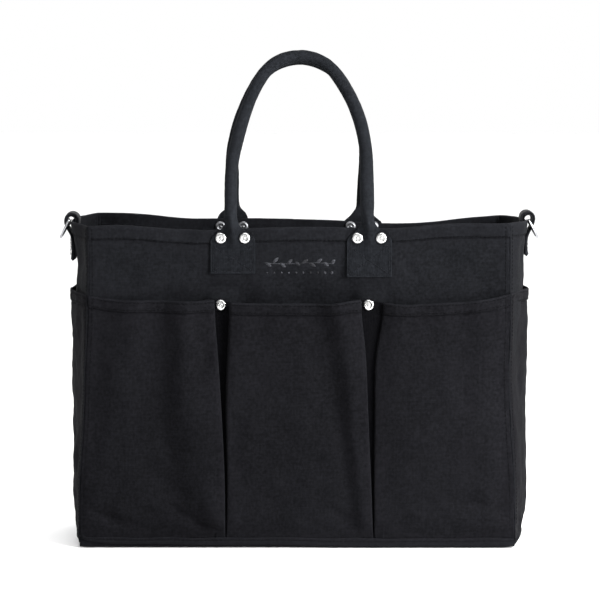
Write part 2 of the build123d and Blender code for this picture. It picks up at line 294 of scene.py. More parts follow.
PLEATS = {  # for each pleat, where its left and right folds lie at each height
    "front": (
        (((12, -76.4), (70, -76.6), (150, -80.0), (205, -83.4), (243, -86.0), (264, -86.6)),
         ((12, -75.2), (70, -74.6), (150, -75.6), (205, -73.8), (243, -72.0), (264, -72.0))),
        (((12, 76.6), (70, 74.6), (150, 71.0), (214, 67.6), (243, 64.6), (264, 63.8)),
         ((12, 77.9), (70, 77.2), (150, 77.6), (214, 80.6), (243, 85.4), (264, 86.4))),
    ),
    "back": (
        (((12, -76.3), (70, -76.8), (150, -78.6), (264, -83.4)),
         ((12, -75.0), (70, -74.5), (150, -72.8), (264, -67.6))),
        (((12, 75.0), (70, 74.5), (150, 72.6), (264, 67.4)),
         ((12, 76.3), (70, 76.8), (150, 78.4), (264, 83.2))),
    ),
}
POCKET_FOOT_Z = 10.0
NOSE = (0.0, 0.3, 0.9, 1.7, 2.8, 4.3, 6.4, 9.0)
SEAM_SIDE = (0.0, 1.2, 2.6, 4.2, 6.2, 9.0)
ACROSS = 36
PLEAT_OFF = 1.4  # how far a pleat's middle lies off the body
TUCK = (  # from under a bay's edge to its pleat's middle: distance in from the edge, share of the height
    (0.4, 0.86), (1.8, 0.74), (5.5, 0.48), (9.0, 0.30), (10.6, 0.20), (9.4, 0.11), (5.0, 0.07), (0.0, 0.05),
)


# In the left bay a fold runs up from the pleat's foot. These are how far its dark flank is from the bay's
# right edge, and how wide it is, at each height.
FLANK_PLACE = ((10, 4), (29, 16), (57, 31), (98, 42), (137, 48), (190, 46), (260, 42))
FLANK_WIDTH = ((10, 10), (29, 24), (57, 36), (98, 38), (137, 31), (260, 29))


def bay_height(side, bay, x, z, left, right):
    """How far a bay's face stands off the body at x, between its left and right edges."""
    h = np.clip((z - 11) / (MOUTH_Z - 11), 0, 1)
    middle = 1.5 + 3.1 * step(h / 0.07) + 8.0 * h**1.1
    fold = 1.7 + 3.7 * step(h / 0.07) + 8.4 * h**0.9
    off = middle + 0 * x
    from_left, from_right = x - left, right - x
    swell = np.sin(pi * np.clip(h, 0, 1) ** 0.7)
    if bay == 0:
        off = 1.6 + (off - 1.6) * step(from_left / (12 + 46 * h))
    else:
        roll, reach = (7.4, 20) if bay == 2 else (1.3, 14)
        off = off + (fold - middle) * np.exp(-((from_left / (7 + 9 * h)) ** 2))
        off = off - roll * h * np.exp(-from_left / reach)
    if bay == 2:
        off = 1.6 + (off - 1.6) * step(from_right / (10 + 30 * h))
    elif bay == 0:
        spread, flank = spline(FLANK_PLACE, z), spline(FLANK_WIDTH, z)
        ridge = (fold - middle) * 0.8 + 6.4 * swell + 5.6 * h
        off = off + ridge * step((spread + flank / 2 - from_right) / flank)
        off = off - 3.0 * np.sqrt(h) * np.exp(-(((from_right - spread - flank * 0.7) / 16) ** 2))
        off = off - (1.6 + 4.0 * h) * step(1 - from_right / (0.7 * spread)) * step(h / 0.1)
    else:
        spread, flank = 13 + 20 * h**0.9, 11 + 13 * h
        ridge = (fold - middle) * 0.8 + 4.8 * swell + 5.6 * h
        off = off + ridge * step((spread + flank / 2 - from_right) / flank)
        off = off - 2.0 * np.sqrt(h) * np.exp(-(((from_right - spread - flank * 0.8) / 16) ** 2))
        off = off - (1.6 + 4.4 * h) * step(1 - from_right / (0.75 * spread)) * step(h / 0.1)
    inside = step(from_left / 12) * step(from_right / 12) * step(h / 0.07)
    seed = (101 if side == "front" else 151) + 7 * bay
    off = off + inside * (0.9 * waves(x, z, 85, seed, along=1.5) + 0.4 * waves(x, z, 34, seed + 1, along=1.3))
    off = off + inside * (0.15 * waves(x, z, 13, seed + 2) + 0.8 * h * waves(x, z, 46, seed + 3, along=5))
    for owner, start, end, width, depth in POCKET_CREASES[side]:
        if owner == bay:
            off = off + crease(x, z, start, end, width, depth) * step(h / 0.05)
    return np.maximum(off, 1.2)


POCKET_CREASES = {
    "front": (
        (0, (-218, 40), (-182, 28), 4.2, 3.4), (0, (-200, 33), (-152, 15), 4.4, 3.8),
        (0, (-136, 44), (-96, 22), 4.6, 3.6), (0, (-112, 28), (-76, 16), 3.8, 3.2),
        (0, (-168, 92), (-116, 44), 12, 1.6), (0, (-200, 150), (-150, 60), 16, 1.0),
        (1, (20, 46), (74, 15), 6.0, 2.2), (1, (-73, 17), (-40, 24), 3.4, 1.8),
        (1, (10, 225), (34, 120), 13, 1.3), (2, (150, 50), (216, 42), 8.0, 3.4),
        (2, (80, 17), (120, 34), 5.0, 2.4), (2, (205, 70), (217, 18), 5.0, 2.2),
    ),
    "back": (
        (0, (-200, 60), (-150, 20), 6.0, 1.8), (0, (-130, 44), (-80, 15), 5.0, 1.9),
        (1, (30, 50), (73, 15), 6.0, 1.7), (1, (-60, 200), (-30, 90), 14, 1.2),
        (2, (84, 18), (120, 46), 6.0, 1.6), (2, (150, 150), (185, 50), 14, 1.3),
    ),
}


def nose_drop(distance, height):
    """The rounding of a bay's edge where it folds under."""
    r = np.minimum(4.2, 0.34 * height)
    return r * (1 - np.sqrt(np.clip(1 - (1 - np.clip(distance / r, 0, 1)) ** 2, 0, 1)))


def pocket_profile(side, z):
    """x and height off the body across the cloth at heights z, and the bay of each column's face, or -1."""
    z = np.asarray(z, float)[:, None]
    xs, offs, bays = [], [], []
    half = corner_x(z)
    folds = [(spline(l, z), spline(r, z)) for l, r in PLEATS[side]]
    lefts, rights = [-half + 0.4, folds[0][1], folds[1][1]], [folds[0][0], folds[1][0], half - 0.4]
    for bay in range(3):
        left, right = lefts[bay], rights[bay]
        near = np.array(SEAM_SIDE if bay == 0 else NOSE)[None]
        far = np.array(SEAM_SIDE if bay == 2 else NOSE)[None, ::-1]
        t = np.linspace(0, 1, ACROSS + 2)[None, 1:-1]
        x0, x1 = left + near[:, -1:], right - far[:, :1]
        x = np.concatenate([left + near, x0 + (x1 - x0) * t, right - far], 1)
        height = bay_height(side, bay, x, z, left, right)
        face = height.copy()
        if bay > 0:
            face = face - nose_drop(x - left, height)
        if bay < 2:
            face = face - nose_drop(right - x, height)
        tuck_in, tuck_up = np.array(TUCK).T
        if bay > 0:
            middle = (folds[bay - 1][0] + folds[bay - 1][1]) / 2
            xs.append(np.concatenate([middle, (left + tuck_in[None])[:, ::-1]], 1))
            risen = PLEAT_OFF + (face[:, :1] - PLEAT_OFF) * tuck_up[None, ::-1]
            offs.append(np.concatenate([PLEAT_OFF + 0 * middle, risen], 1))
            bays += [-1] * (len(TUCK) + 1)
        xs.append(x)
        offs.append(face)
        bays += [bay] * x.shape[1]
        if bay < 2:
            xs.append(right - tuck_in[None])
            offs.append(PLEAT_OFF + (face[:, -1:] - PLEAT_OFF) * tuck_up[None])
            bays += [-1] * len(TUCK)
    return np.concatenate(xs, 1), np.concatenate(offs, 1), np.array(bays)


def pocket_rows(side, depths):
    """The pocket cloth's outer face at these distances below its mouth, and each column's bay."""
    depths = np.asarray(depths, float)
    level = POCKET_FOOT_Z + (MOUTH_Z - POCKET_FOOT_Z) * (1 - depths / (MOUTH_Z - POCKET_FOOT_Z))
    x, off, bays = pocket_profile(side, level)
    mouth = spline(MOUTHS[side], x)
    z = POCKET_FOOT_Z + (mouth - POCKET_FOOT_Z) * (1 - depths[:, None] / (MOUTH_Z - POCKET_FOOT_Z))
    hem = stitched_edge(depths[:, None], POCKET_HEM, (1.8, POCKET_HEM - 1.4), x, 190)
    off = off + np.where(bays[None] >= 0, hem, 0.25 * hem)
    turn = -1 if side == "back" else 1
    out = sway(z) * step((np.abs(x) - 90) / 110)
    return np.stack([turn * x + out, -turn * (HALF_DEPTH + off), z], -1), bays


# Mesh making

def normals_of(points, closed=False):
    if closed:
        return normals_of(np.concatenate([points[:, -1:], points, points[:, :1]], 1))[:, 1:-1]
    du, dv = np.gradient(points, axis=1), np.gradient(points, axis=0)
    n = np.cross(du, dv)
    return n / np.maximum(np.linalg.norm(n, axis=-1, keepdims=True), 1e-9)


def distance_along(points):
    """How far each point of a line is from its first one."""
    return np.concatenate([[0], np.cumsum(np.linalg.norm(np.diff(points, axis=0), axis=1))])


def flat_coordinates(points):
    """Distances along the cloth in mm, across and up, for the weave."""
    across = np.linalg.norm(np.diff(points, axis=1), axis=-1)
    up = np.linalg.norm(np.diff(points, axis=0), axis=-1)
    u = np.concatenate([np.zeros((len(points), 1)), np.cumsum(across, 1)], 1)
    v = np.concatenate([np.zeros((1, points.shape[1])), np.cumsum(up, 0)], 0)
    u = u.mean(0, keepdims=True) + 0 * u
    return np.stack([u, v.mean(1, keepdims=True) + 0 * v], -1)


def add_mesh(name, points, faces, uv, material, wear_and_painted_shading=None, body="bag"):
    """A piece from points in mm. Faces are turned outwards if they came the other way round."""
    points = np.asarray(points, float)
    volume = 0.0
    for size in (3, 4):
        block = np.array([f for f in faces if len(f) == size])
        if len(block):
            for k in range(1, size - 1):
                volume += np.einsum("ij,ij->", points[block[:, 0]],
                                    np.cross(points[block[:, k]], points[block[:, k + 1]]))
    if volume < 0:
        faces = [tuple(reversed(f)) for f in faces]
    mesh = bpy.data.meshes.new(name)
    mesh.from_pydata((points * MM).tolist(), [], [tuple(int(i) for i in f) for f in faces])
    corners = np.empty(len(mesh.loops), int)
    mesh.loops.foreach_get("vertex_index", corners)
    mesh.uv_layers.new(name="UVMap").data.foreach_set("uv", np.asarray(uv, float)[corners].ravel())
    worn_and_painted_shading = mesh.attributes.new("wear_and_painted_shading", "FLOAT", "POINT")
    worn_and_painted_shading.data.foreach_set("value", np.zeros(len(points)) if wear_and_painted_shading is None else np.asarray(wear_and_painted_shading, float))
    mesh.polygons.foreach_set("use_smooth", [True] * len(mesh.polygons))
    mesh.materials.append(material)
    mesh.update()
    piece = bpy.data.objects.new(name, mesh)
    bpy.context.scene.collection.objects.link(piece)
    if body:
        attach(piece, body)
    return piece


def cloth(name, points, thick, material, wear_and_painted_shading=0.0, closed=False):
    """A closed cloth shell under its outer face, with rounded top and bottom edges. Rows run upwards."""
    n, m, _ = points.shape
    thick = np.broadcast_to(np.asarray(thick, float), (n, m))[..., None]
    inner = points - normals_of(points, closed) * thick
    up, down = points[-1] - points[-2], points[0] - points[1]
    up, down = (v / np.linalg.norm(v, axis=-1, keepdims=True) for v in (up, down))
    top = (points[-1] + inner[-1]) / 2 + up * thick[-1] * 0.45
    low = (points[0] + inner[0]) / 2 + down * thick[0] * 0.45
    rows = np.concatenate([points, top[None], inner[::-1], low[None]])
    flat = flat_coordinates(points)
    uv = np.concatenate([flat, flat[-1:], flat[::-1], flat[:1]])
    worn_and_painted_shading = np.broadcast_to(np.asarray(wear_and_painted_shading, float), (n, m))
    worn_and_painted_shading = np.concatenate([worn_and_painted_shading, np.maximum(worn_and_painted_shading[-1:], 0.5), worn_and_painted_shading[::-1] * 0.3, worn_and_painted_shading[:1]])
    index = np.arange(len(rows) * m).reshape(-1, m)
    following, last = np.roll(index, -1, 0), m if closed else m - 1
    faces = []
    for c in range(last):
        e = (c + 1) % m
        faces += list(zip(index[:, c], index[:, e], following[:, e], following[:, c]))
    if not closed:
        for c, flip in ((0, False), (m - 1, True)):
            ring = [(index[i, c], index[i + 1, c], index[2 * n - i - 1, c], index[2 * n - i, c])
                    for i in range(n - 1)]
            ring += [(index[n - 1, c], index[n, c], index[n + 1, c]),
                     (index[-1, c], index[0, c], index[2 * n, c])]
            faces += [tuple(reversed(f)) for f in ring] if flip else ring
    return add_mesh(name, rows.reshape(-1, 3), faces, uv.reshape(-1, 2), material, worn_and_painted_shading.ravel())


def loft(name, rings, material, wear_and_painted_shading=None, body="bag"):
    """A closed skin through rings of points, capped at both ends."""
    k, m, _ = rings.shape
    index = np.arange(k * m).reshape(k, m)
    faces = []
    for i in range(k - 1):
        for c in range(m):
            e = (c + 1) % m
            faces.append((index[i, c], index[i, e], index[i + 1, e], index[i + 1, c]))
    flat = flat_coordinates(np.concatenate([rings, rings[:, :1]], 1))[:, :-1]
    triangles = []
    points, uv = rings.reshape(-1, 3), flat.reshape(-1, 2)
    worn_and_painted_shading = np.zeros((k, m)) if wear_and_painted_shading is None else np.broadcast_to(wear_and_painted_shading, (k, m))
    worn_and_painted_shading = worn_and_painted_shading.ravel()
    for cap in (tuple(reversed(index[0])), tuple(index[-1])):
        middle = len(points)
        points = np.concatenate([points, points[list(cap)].mean(0, keepdims=True)])
        uv, worn_and_painted_shading = np.concatenate([uv, uv[list(cap)].mean(0, keepdims=True)]), np.append(worn_and_painted_shading, 0.0)
        triangles += [(cap[i], cap[(i + 1) % m], middle) for i in range(m)]
    return add_mesh(name, points, faces + triangles, uv, material, worn_and_painted_shading, body)


STITCH_L, STITCH_R = 3.0, 0.36
STITCH_SIDES = 6
STITCH_OUTLINE = (  # along the stitch: place, thickness and lift
    (-0.5, 0.25, -0.35), (-0.42, 0.8, -0.05), (-0.2, 1.0, 0.1), (0.2, 1.0, 0.1), (0.42, 0.8, -0.05),
                  (0.5, 0.25, -0.35),
)


def stitching(name, lines, material, pitch=3.9, body="bag"):
    """Threads along lines, each a pair of points and outward normals, as one piece of many short stitches."""
    places = []
    for points, normal in lines:
        points, normal = np.asarray(points, float), np.asarray(normal, float)
        run = distance_along(points)
        count = max(int(run[-1] / pitch), 1)
        at = (np.arange(count) + 0.5) * run[-1] / count
        at = np.stack([at - STITCH_L / 2, at, at + STITCH_L / 2])
        p = np.stack([np.interp(at, run, points[:, k]) for k in range(3)], -1)
        q = np.stack([np.interp(at[1], run, normal[:, k]) for k in range(3)], -1)
        places.append((p, q / np.linalg.norm(q, axis=-1, keepdims=True)))
    p, q = np.concatenate([a for a, _ in places], 1), np.concatenate([b for _, b in places])
    along = p[2] - p[0]
    along /= np.linalg.norm(along, axis=-1, keepdims=True)
    across = np.cross(along, q)
    sides, ring_count = STITCH_SIDES, len(STITCH_OUTLINE)
    rings = []
    for share, size, lift in STITCH_OUTLINE:
        for k in range(sides):
            side, out = cos(tau * k / sides) * STITCH_R * size, sin(tau * k / sides) * STITCH_R * size * 0.8
            rings.append(p[1] + along * STITCH_L * share + across * side + q * (out + lift + 0.12))
    points = np.stack(rings, 1)
    face = []
    for low in range(0, (ring_count - 1) * sides, sides):
        for k in range(sides):
            e = (k + 1) % sides
            face.append((low + k, low + e, low + sides + e, low + sides + k))
    last = (ring_count - 1) * sides
    face += [(0, 5, 4, 3), (0, 3, 2, 1), (last, last + 1, last + 2, last + 3),
             (last, last + 3, last + 4, last + 5)]
    base = np.arange(len(p[1]))[:, None, None] * ring_count * sides + np.array(face)[None]
    along_uv, round_uv = np.linspace(0, STITCH_L, ring_count), np.linspace(0, 2, sides)
    uv = np.stack([np.repeat(along_uv, sides), np.tile(round_uv, ring_count)], -1)
    faces = [tuple(f) for f in base.reshape(-1, 4)]
    add_mesh(name, points.reshape(-1, 3), faces, np.tile(uv, (len(p[1]), 1)), material, body=body)


def box_and_cross(middle, half, low, high, inset):
    """The straight runs of a sewn box, as pairs of points, and of the cross inside it."""
    left, right = middle - half, middle + half
    box = [(left, high), (left, low), (right, low), (right, high), (left, high)]
    falling = (left + inset, high - inset), (right - inset, low + inset)
    rising = (left + inset, low + inset), (right - inset, high - inset)
    return list(zip(box, box[1:])) + [falling, rising]


def straight_lines(runs, count, place, normal):
    """Stitch lines along straight runs between points (a, z), which place puts where they belong."""
    lines = []
    for (a0, z0), (a1, z1) in runs:
        t = np.linspace(0, 1, count)
        points = np.broadcast_arrays(*place(a0 + (a1 - a0) * t, z0 + (z1 - z0) * t))
        lines.append((np.stack(points, -1), np.tile(normal, (count, 1))))
    return lines


def line_on(surface, us, ds):
    """A path on a surface with its outward normals."""
    us, ds = np.broadcast_arrays(np.asarray(us, float), np.asarray(ds, float))
    here, right, below = surface(us, ds), surface(us + 0.002, ds), surface(us, ds + 0.5)
    normal = np.cross(right - here, here - below)
    return here, normal / np.linalg.norm(normal, axis=-1, keepdims=True)


# Materials

class Look:
    """A procedural material. Call makes a node; inputs are values or other nodes' outputs."""

    def __init__(self, name):
        self.material = bpy.data.materials.new(name)
        self.material.use_nodes = True
        self.tree = self.material.node_tree
        self.shader = self.tree.nodes["Principled BSDF"]

    def __call__(self, kind, *inputs, out=0, **named):
        node = self.tree.nodes.new("ShaderNode" + kind)
        for key in [k for k in named if k.islower() and hasattr(node, k)]:
            setattr(node, key, named.pop(key))
        for key, value in list(enumerate(inputs)) + [(k.replace("_", " "), v) for k, v in named.items()]:
            self.put(node.inputs[key], value)
        return node.outputs[out]

    def put(self, socket, value):
        if isinstance(value, bpy.types.NodeSocket):
            self.tree.links.new(value, socket)
        elif value is not None:
            socket.default_value = value

    def math(self, operation, *inputs, clamp=False):
        return self("Math", *inputs, operation=operation, use_clamp=clamp)

    def times(self, *inputs, clamp=False):
        return self.math("MULTIPLY", *inputs, clamp=clamp)

    def plus(self, *inputs):
        return self.math("ADD", *inputs)

    def noise(self, place, scale, detail=3.0, roughness=0.5):
        return self("TexNoise", Vector=place, Scale=scale, Detail=detail, Roughness=roughness)

    def stretch(self, place, amount):
        return self("VectorMath", place, amount, operation="MULTIPLY")

    def ramp(self, value, low, high, to_low=0.0, to_high=1.0):
        return self("MapRange", value, low, high, to_low, to_high)

    def mix(self, share, a, b):
        node = self.tree.nodes.new("ShaderNodeMix")
        node.data_type = "RGBA"
        for socket, value in ((0, share), (6, a), (7, b)):
            self.put(node.inputs[socket], value)
        return node.outputs[2]

    def finish(self, **inputs):
        for key, value in inputs.items():
            self.put(self.shader.inputs[key.replace("_", " ")], value)
        return self.material


def colour(r, g, b):
    """A colour given as it looks on a screen, 0 to 255."""
    def linear(c):
        return c / 12.92 if c <= 0.04045 else ((c + 0.055) / 1.055) ** 2.4
    return tuple(linear(c / 255) for c in (r, g, b)) + (1.0,)


def canvas(name, dark, light, thread=1.35, worn_and_painted_shading=(38, 39, 43), bump=0.24):
    """Plain-woven cotton canvas. The weave follows the UV map, which is in mm."""
    look = Look(name)
    uv = look("UVMap")
    place = look("TexCoord", out=3)
    wander = look.times(look.math("SUBTRACT", look.noise(look.stretch(uv, (0.05, 0.05, 1)), 1.0), 0.5), 2.4)
    split = look.tree.nodes.new("ShaderNodeSeparateXYZ")
    look.put(split.inputs[0], uv)
    waves_ab = []
    for k in (0, 1):
        along = look.times(look.plus(split.outputs[k], wander), pi / thread)
        waves_ab.append(look.math("SINE", along))
    a, b = (look.math("ABSOLUTE", w) for w in waves_ab)
    warp = look.times(a, look.math("SQRT", b))
    weft = look.times(b, look.math("SQRT", a))
    over = look.ramp(look.times(*waves_ab), -0.25, 0.25)
    weave = look.plus(look.times(over, warp), look.times(look.math("SUBTRACT", 1.0, over), weft))
    slub = look.noise(look.stretch(uv, (0.035, 0.8, 1)), 1.0, 4.0)
    slub_up = look.noise(look.stretch(uv, (0.8, 0.03, 1)), 1.3, 4.0)
    fibre = look.noise(uv, 2.2, 5.0, 0.7)
    dust = look.noise(place, 11.0, 5.0, 0.62)
    patch = look.noise(look.stretch(place, (1, 1, 1.6)), 4.0, 2.0)
    nap = look.noise(place, 330.0, 4.0, 0.65)
    share = look.times(weave, 0.34)
    for value, low, high, much in ((nap, 0.38, 0.64, 0.5), (dust, 0.36, 0.72, 0.22), (patch, 0.35, 0.7, 0.16),
                                   (slub, 0.45, 0.8, 0.24), (slub_up, 0.5, 0.8, 0.16),
                                   (fibre, 0.4, 0.75, 0.16)):
        share = look.plus(share, look.ramp(value, low, high, 0.0, much))
    base = look.mix(look.times(share, 0.72, clamp=True), colour(*dark), colour(*light))
    # The mesh attribute's positive values rub the cloth pale: wear, and painted light along the hems and on
    # the bays' right edges.
    wear_and_painted_shading = look("Attribute", attribute_name="wear_and_painted_shading", out=2)
    rub_and_painted_light = look.times(wear_and_painted_shading, look.ramp(fibre, 0.3, 0.7, 0.35, 1.0))
    base = look.mix(look.times(rub_and_painted_light, 0.55, clamp=True), base, colour(*worn_and_painted_shading))
    # Its negative values darken the cloth: painted shade inside the pleats, under the hems and on the handle
    # tabs.
    base = look.mix(look.times(wear_and_painted_shading, -0.8, clamp=True), base, colour(2, 2, 3))
    height = look.plus(look.times(weave, 0.8), look.times(fibre, 0.35))
    height = look.plus(height, look.times(look.plus(slub, slub_up), 0.35))
    normal = look("Bump", Strength=0.75, Distance=bump * MM, Height=height)
    return look.finish(
        Base_Color=base, Roughness=look.ramp(fibre, 0.3, 0.7, 0.8, 0.95), Normal=normal,
        Specular_IOR_Level=0.025, Sheen_Weight=0.003, Sheen_Roughness=0.45,
    )


def thread_look(name, dark, light):
    look = Look(name)
    uv = look("UVMap")
    ply = look("TexWave", Vector=look.stretch(uv, (0.9, 0.7, 1)), Scale=1.0, Distortion=0.6,
               bands_direction="DIAGONAL")
    fuzz = look.noise(look("TexCoord", out=3), 900.0, 3.0)
    base = look.mix(look.times(look.plus(ply, fuzz), 0.5, clamp=True), colour(*dark), colour(*light))
    normal = look("Bump", Strength=0.5, Distance=0.08 * MM, Height=ply)
    return look.finish(Base_Color=base, Roughness=look.ramp(fuzz, 0.3, 0.7, 0.75, 0.95), Normal=normal,
                       Specular_IOR_Level=0.06)


def webbing_look(name, dark, light):
    """Ribbed webbing: fine cross ribs, with a run of heavier ribs along each edge."""
    look = Look(name)
    uv = look("UVMap")
    ribs = look("TexWave", Vector=uv, Scale=0.42, Distortion=0.35, bands_direction="Y")
    lanes = look("TexWave", Vector=uv, Scale=0.24, Distortion=0.25, bands_direction="X")
    fibre = look.noise(uv, 1.8, 4.0, 0.65)
    height = look.plus(look.times(ribs, 0.7), look.times(lanes, 0.4))
    height = look.plus(height, look.times(fibre, 0.4))
    share = look.times(height, 0.55, clamp=True)
    rub_and_painted_light = look.times(look("Attribute", attribute_name="wear_and_painted_shading", out=2), look.ramp(fibre, 0.3, 0.7, 0.3, 1.0))
    base = look.mix(share, colour(*dark), colour(*light))
    base = look.mix(look.times(rub_and_painted_light, 0.5, clamp=True), base, colour(66, 67, 73))
    normal = look("Bump", Strength=0.8, Distance=0.3 * MM, Height=height)
    return look.finish(Base_Color=base, Roughness=look.ramp(fibre, 0.3, 0.7, 0.7, 0.9), Normal=normal,
                       Specular_IOR_Level=0.1)


def nickel(name, tint, low, high):
    """Plated metal with faint rubbing marks."""
    look = Look(name)
    place = look("TexCoord", out=3)
    smear = look.noise(look.stretch(place, (1, 1, 3)), 260.0, 4.0, 0.6)
    spots = look.noise(place, 900.0, 2.0)
    base = look.mix(look.ramp(smear, 0.35, 0.75), colour(*tint), colour(*(min(c + 14, 255) for c in tint)))
    normal = look("Bump", Strength=0.15, Distance=0.05 * MM, Height=look.plus(smear, spots))
    return look.finish(Base_Color=base, Metallic=1.0, Roughness=look.ramp(smear, 0.3, 0.7, low, high),
                       Normal=normal)


def rope_look(name):
    look = Look(name)
    place = look("TexCoord", out=3)
    twist = look("TexWave", Vector=place, Scale=110.0, Distortion=1.5, bands_direction="DIAGONAL")
    fibre = look.noise(place, 700.0, 4.0)
    base = look.mix(look.times(look.plus(twist, fibre), 0.5), colour(150, 134, 104), colour(206, 192, 160))
    normal = look("Bump", Strength=0.8, Distance=0.6 * MM, Height=look.plus(twist, look.times(fibre, 0.3)))
    return look.finish(Base_Color=base, Roughness=look.ramp(fibre, 0.3, 0.7, 0.75, 0.95), Normal=normal,
                       Specular_IOR_Level=0.2)


def print_look(name):
    """Grey ink rubbed thin, so that the weave shows through."""
    look = Look(name)
    place = look("TexCoord", out=3)
    grain = look.noise(place, 1300.0, 3.0, 0.7)
    fade = look.noise(place, 38.0, 2.0)
    share = look.times(look.ramp(grain, 0.4, 0.62), look.ramp(fade, 0.36, 0.62, 0.12, 1.0))
    base = look.mix(share, colour(12, 12, 14), colour(62, 63, 68))
    normal = look("Bump", Strength=0.5, Distance=0.1 * MM, Height=grain)
    return look.finish(Base_Color=base, Roughness=look.ramp(grain, 0.3, 0.7, 0.7, 0.9), Normal=normal,
                       Specular_IOR_Level=0.15)


WALL = canvas("wall_canvas", (5, 5, 6), (26, 27, 30))
POCKET = canvas("pocket_canvas", (4, 4, 5), (24, 24, 27))
BINDING = canvas("binding_canvas", (5, 5, 6), (25, 25, 28), thread=1.1)
HANDLE = canvas("handle_canvas", (9, 10, 11), (35, 37, 41), thread=1.15, bump=0.18, worn_and_painted_shading=(45, 47, 52))
THREAD = thread_look("stitch_thread", (2, 2, 3), (9, 9, 11))
TAB_THREAD = thread_look("tab_thread", (14, 15, 17), (29, 30, 34))
WEBBING = webbing_look("loop_webbing", (5, 5, 7), (25, 26, 30))
RIVET = nickel("rivet_nickel", (196, 196, 195), 0.18, 0.34)
# The rivet backs inside the bag are the caps' nickel painted darker: painted shade.
SHADED_RIVET_BACK = nickel("rivet_back_painted_shade_nickel", (122, 123, 126), 0.3, 0.5)
RING = nickel("ring_nickel", (152, 153, 156), 0.12, 0.26)
ROPE = rope_look("handle_rope")
INK = print_look("leaf_ink")


# The walls, pockets and base

WALL_NODES = {"front": "front_panel", "back": "back_panel", "left": "left_gusset", "right": "right_gusset"}
HEM_ROWS = (15.0, 14.2, 13.7, 13.3, 13.0, 12.7, 12.3, 11.9, 11.4, 10.6, 9.2, 7.4, 5.6, 3.8, 2.4, 1.3, 0.5,
            0.0)


def edge_wear_and_painted_shade(depths, hem):
    """Rubbing along a turned edge, and painted shade in the crease below the hem."""
    return 0.3 * np.exp(-((depths / 1.6) ** 2)) - 0.5 * np.exp(-(((depths - hem - 0.7) / 0.9) ** 2))


def wall(side):
    span = 2 * half_span(side)
    depths = np.concatenate([np.arange(RIM_Z - FOOT_Z, 84, -6.0), np.arange(84, 15.5, -2.4), HEM_ROWS])
    us = np.linspace(0, 1, int(span / 2.8) + 1)
    points = panel_surface(side)(us[None], depths[:, None])
    thick = CLOTH + 1.2 * (1 - step((depths - HEM) / 0.8))
    # The hem rows are painted paler, the back wall's most, where its inside shows through the mouth: painted
    # light.
    hem_painted_light = {"front": 0.08, "back": 0.4}.get(side, 0.0) * (1 - step((depths - HEM) / 1.5))
    wear_and_painted_shading = (edge_wear_and_painted_shade(depths, HEM) + hem_painted_light)[:, None]
    piece = cloth(f"{side}_wall_cloth", points, thick[:, None], WALL, wear_and_painted_shading)
    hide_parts(WALL_NODES[side])


POCKET_ROWS = (14, 13, 12.2, 11.6, 11.1, 10.6, 10.2, 9.8, 9.5, 9.1, 8.6, 7.6, 6.2, 4.8, 3.6, 2.8, 2.3, 1.9,
               1.5, 1.0, 0.5, 0.0)
POCKET_T = 1.2


def front_pocket(side):
    deep = MOUTH_Z - POCKET_FOOT_Z
    depths = np.concatenate([np.linspace(deep, deep - 8, 5), np.arange(deep - 10.5, 15, -2.6), POCKET_ROWS])
    points, bays = pocket_rows(side, depths)
    h = (1 - depths / deep)[:, None]
    on_face = (bays >= 0)[None]
    hem = 1 - step((depths[:, None] - POCKET_HEM) / 0.8)
    thick = np.where(on_face, POCKET_T + 0.9 * hem, 0.55 + 0.6 * h)
    wear_and_painted_shading = edge_wear_and_painted_shade(depths, POCKET_HEM)[:, None] + 0 * thick
    painted_edge_light_and_shade = np.zeros(len(bays))
    if side == "front":  # painted shade on the right bay's edge, where it rolls away into its pleat
        from_fold = points[:, :, 0].mean(0) - points[:, int(np.flatnonzero(bays == 2)[0]), 0].mean()
        painted_edge_light_and_shade = painted_edge_light_and_shade - 0.22 * np.exp(-np.maximum(from_fold - 4, 0) / 9) * (bays == 2)
    # The bays' right edges, which turn to the key light, get a painted highlight.
    for k in range(1, len(bays)):
        if bays[k] == -1 and bays[k - 1] >= 0:
            painted_edge_light_and_shade[k - 3:k] += 0.2
    # Inside the pleats the cloth is painted dark: painted shade.
    wear_and_painted_shading = np.where(on_face, wear_and_painted_shading + painted_edge_light_and_shade[None], -0.85)
    piece = cloth(f"{side}_pocket_cloth", points, thick, POCKET, wear_and_painted_shading)
    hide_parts(f"{side}_pocket_panel")
    return {"points": points, "bays": bays, "depths": depths}


def side_pocket(side):
    deep = SIDE_MOUTH_Z - 6
    depths = np.concatenate([np.arange(deep, 15, -2.8), POCKET_ROWS])
    us = np.linspace(0, 1, 55)
    points = side_pocket_surface(side)(us[None], depths[:, None])
    thick = POCKET_T + 0.9 * (1 - step((depths - POCKET_HEM) / 0.8))
    wear_and_painted_shading = edge_wear_and_painted_shade(depths, POCKET_HEM)[:, None]
    piece = cloth(f"{side}_side_pocket_cloth", points, thick[:, None], POCKET, wear_and_painted_shading)
    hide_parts(f"{side}_side_pocket")


# The binding round the foot

ROUND_THE_FOOT = ("left", "front", "right", "back")
FOOT_WAVE = {
    "front": ((-231, 14.0), (-225, 9.5), (-216, 6.0), (-204, 4.4), (-190, 3.8), (-150, 3.5), (-92, 2.4),
              (-40, 2.9), (0, 2.0), (52, 0.2), (125, 0.4), (186, 0.0), (207, 0.2), (218, 1.0), (229, 3.2)),
    "back": ((-225, 4.8), (-207, 1.4), (-150, 0.6), (-60, 2.0), (20, 0.9), (100, 2.4), (190, 1.0),
             (225, 5.0)),
}


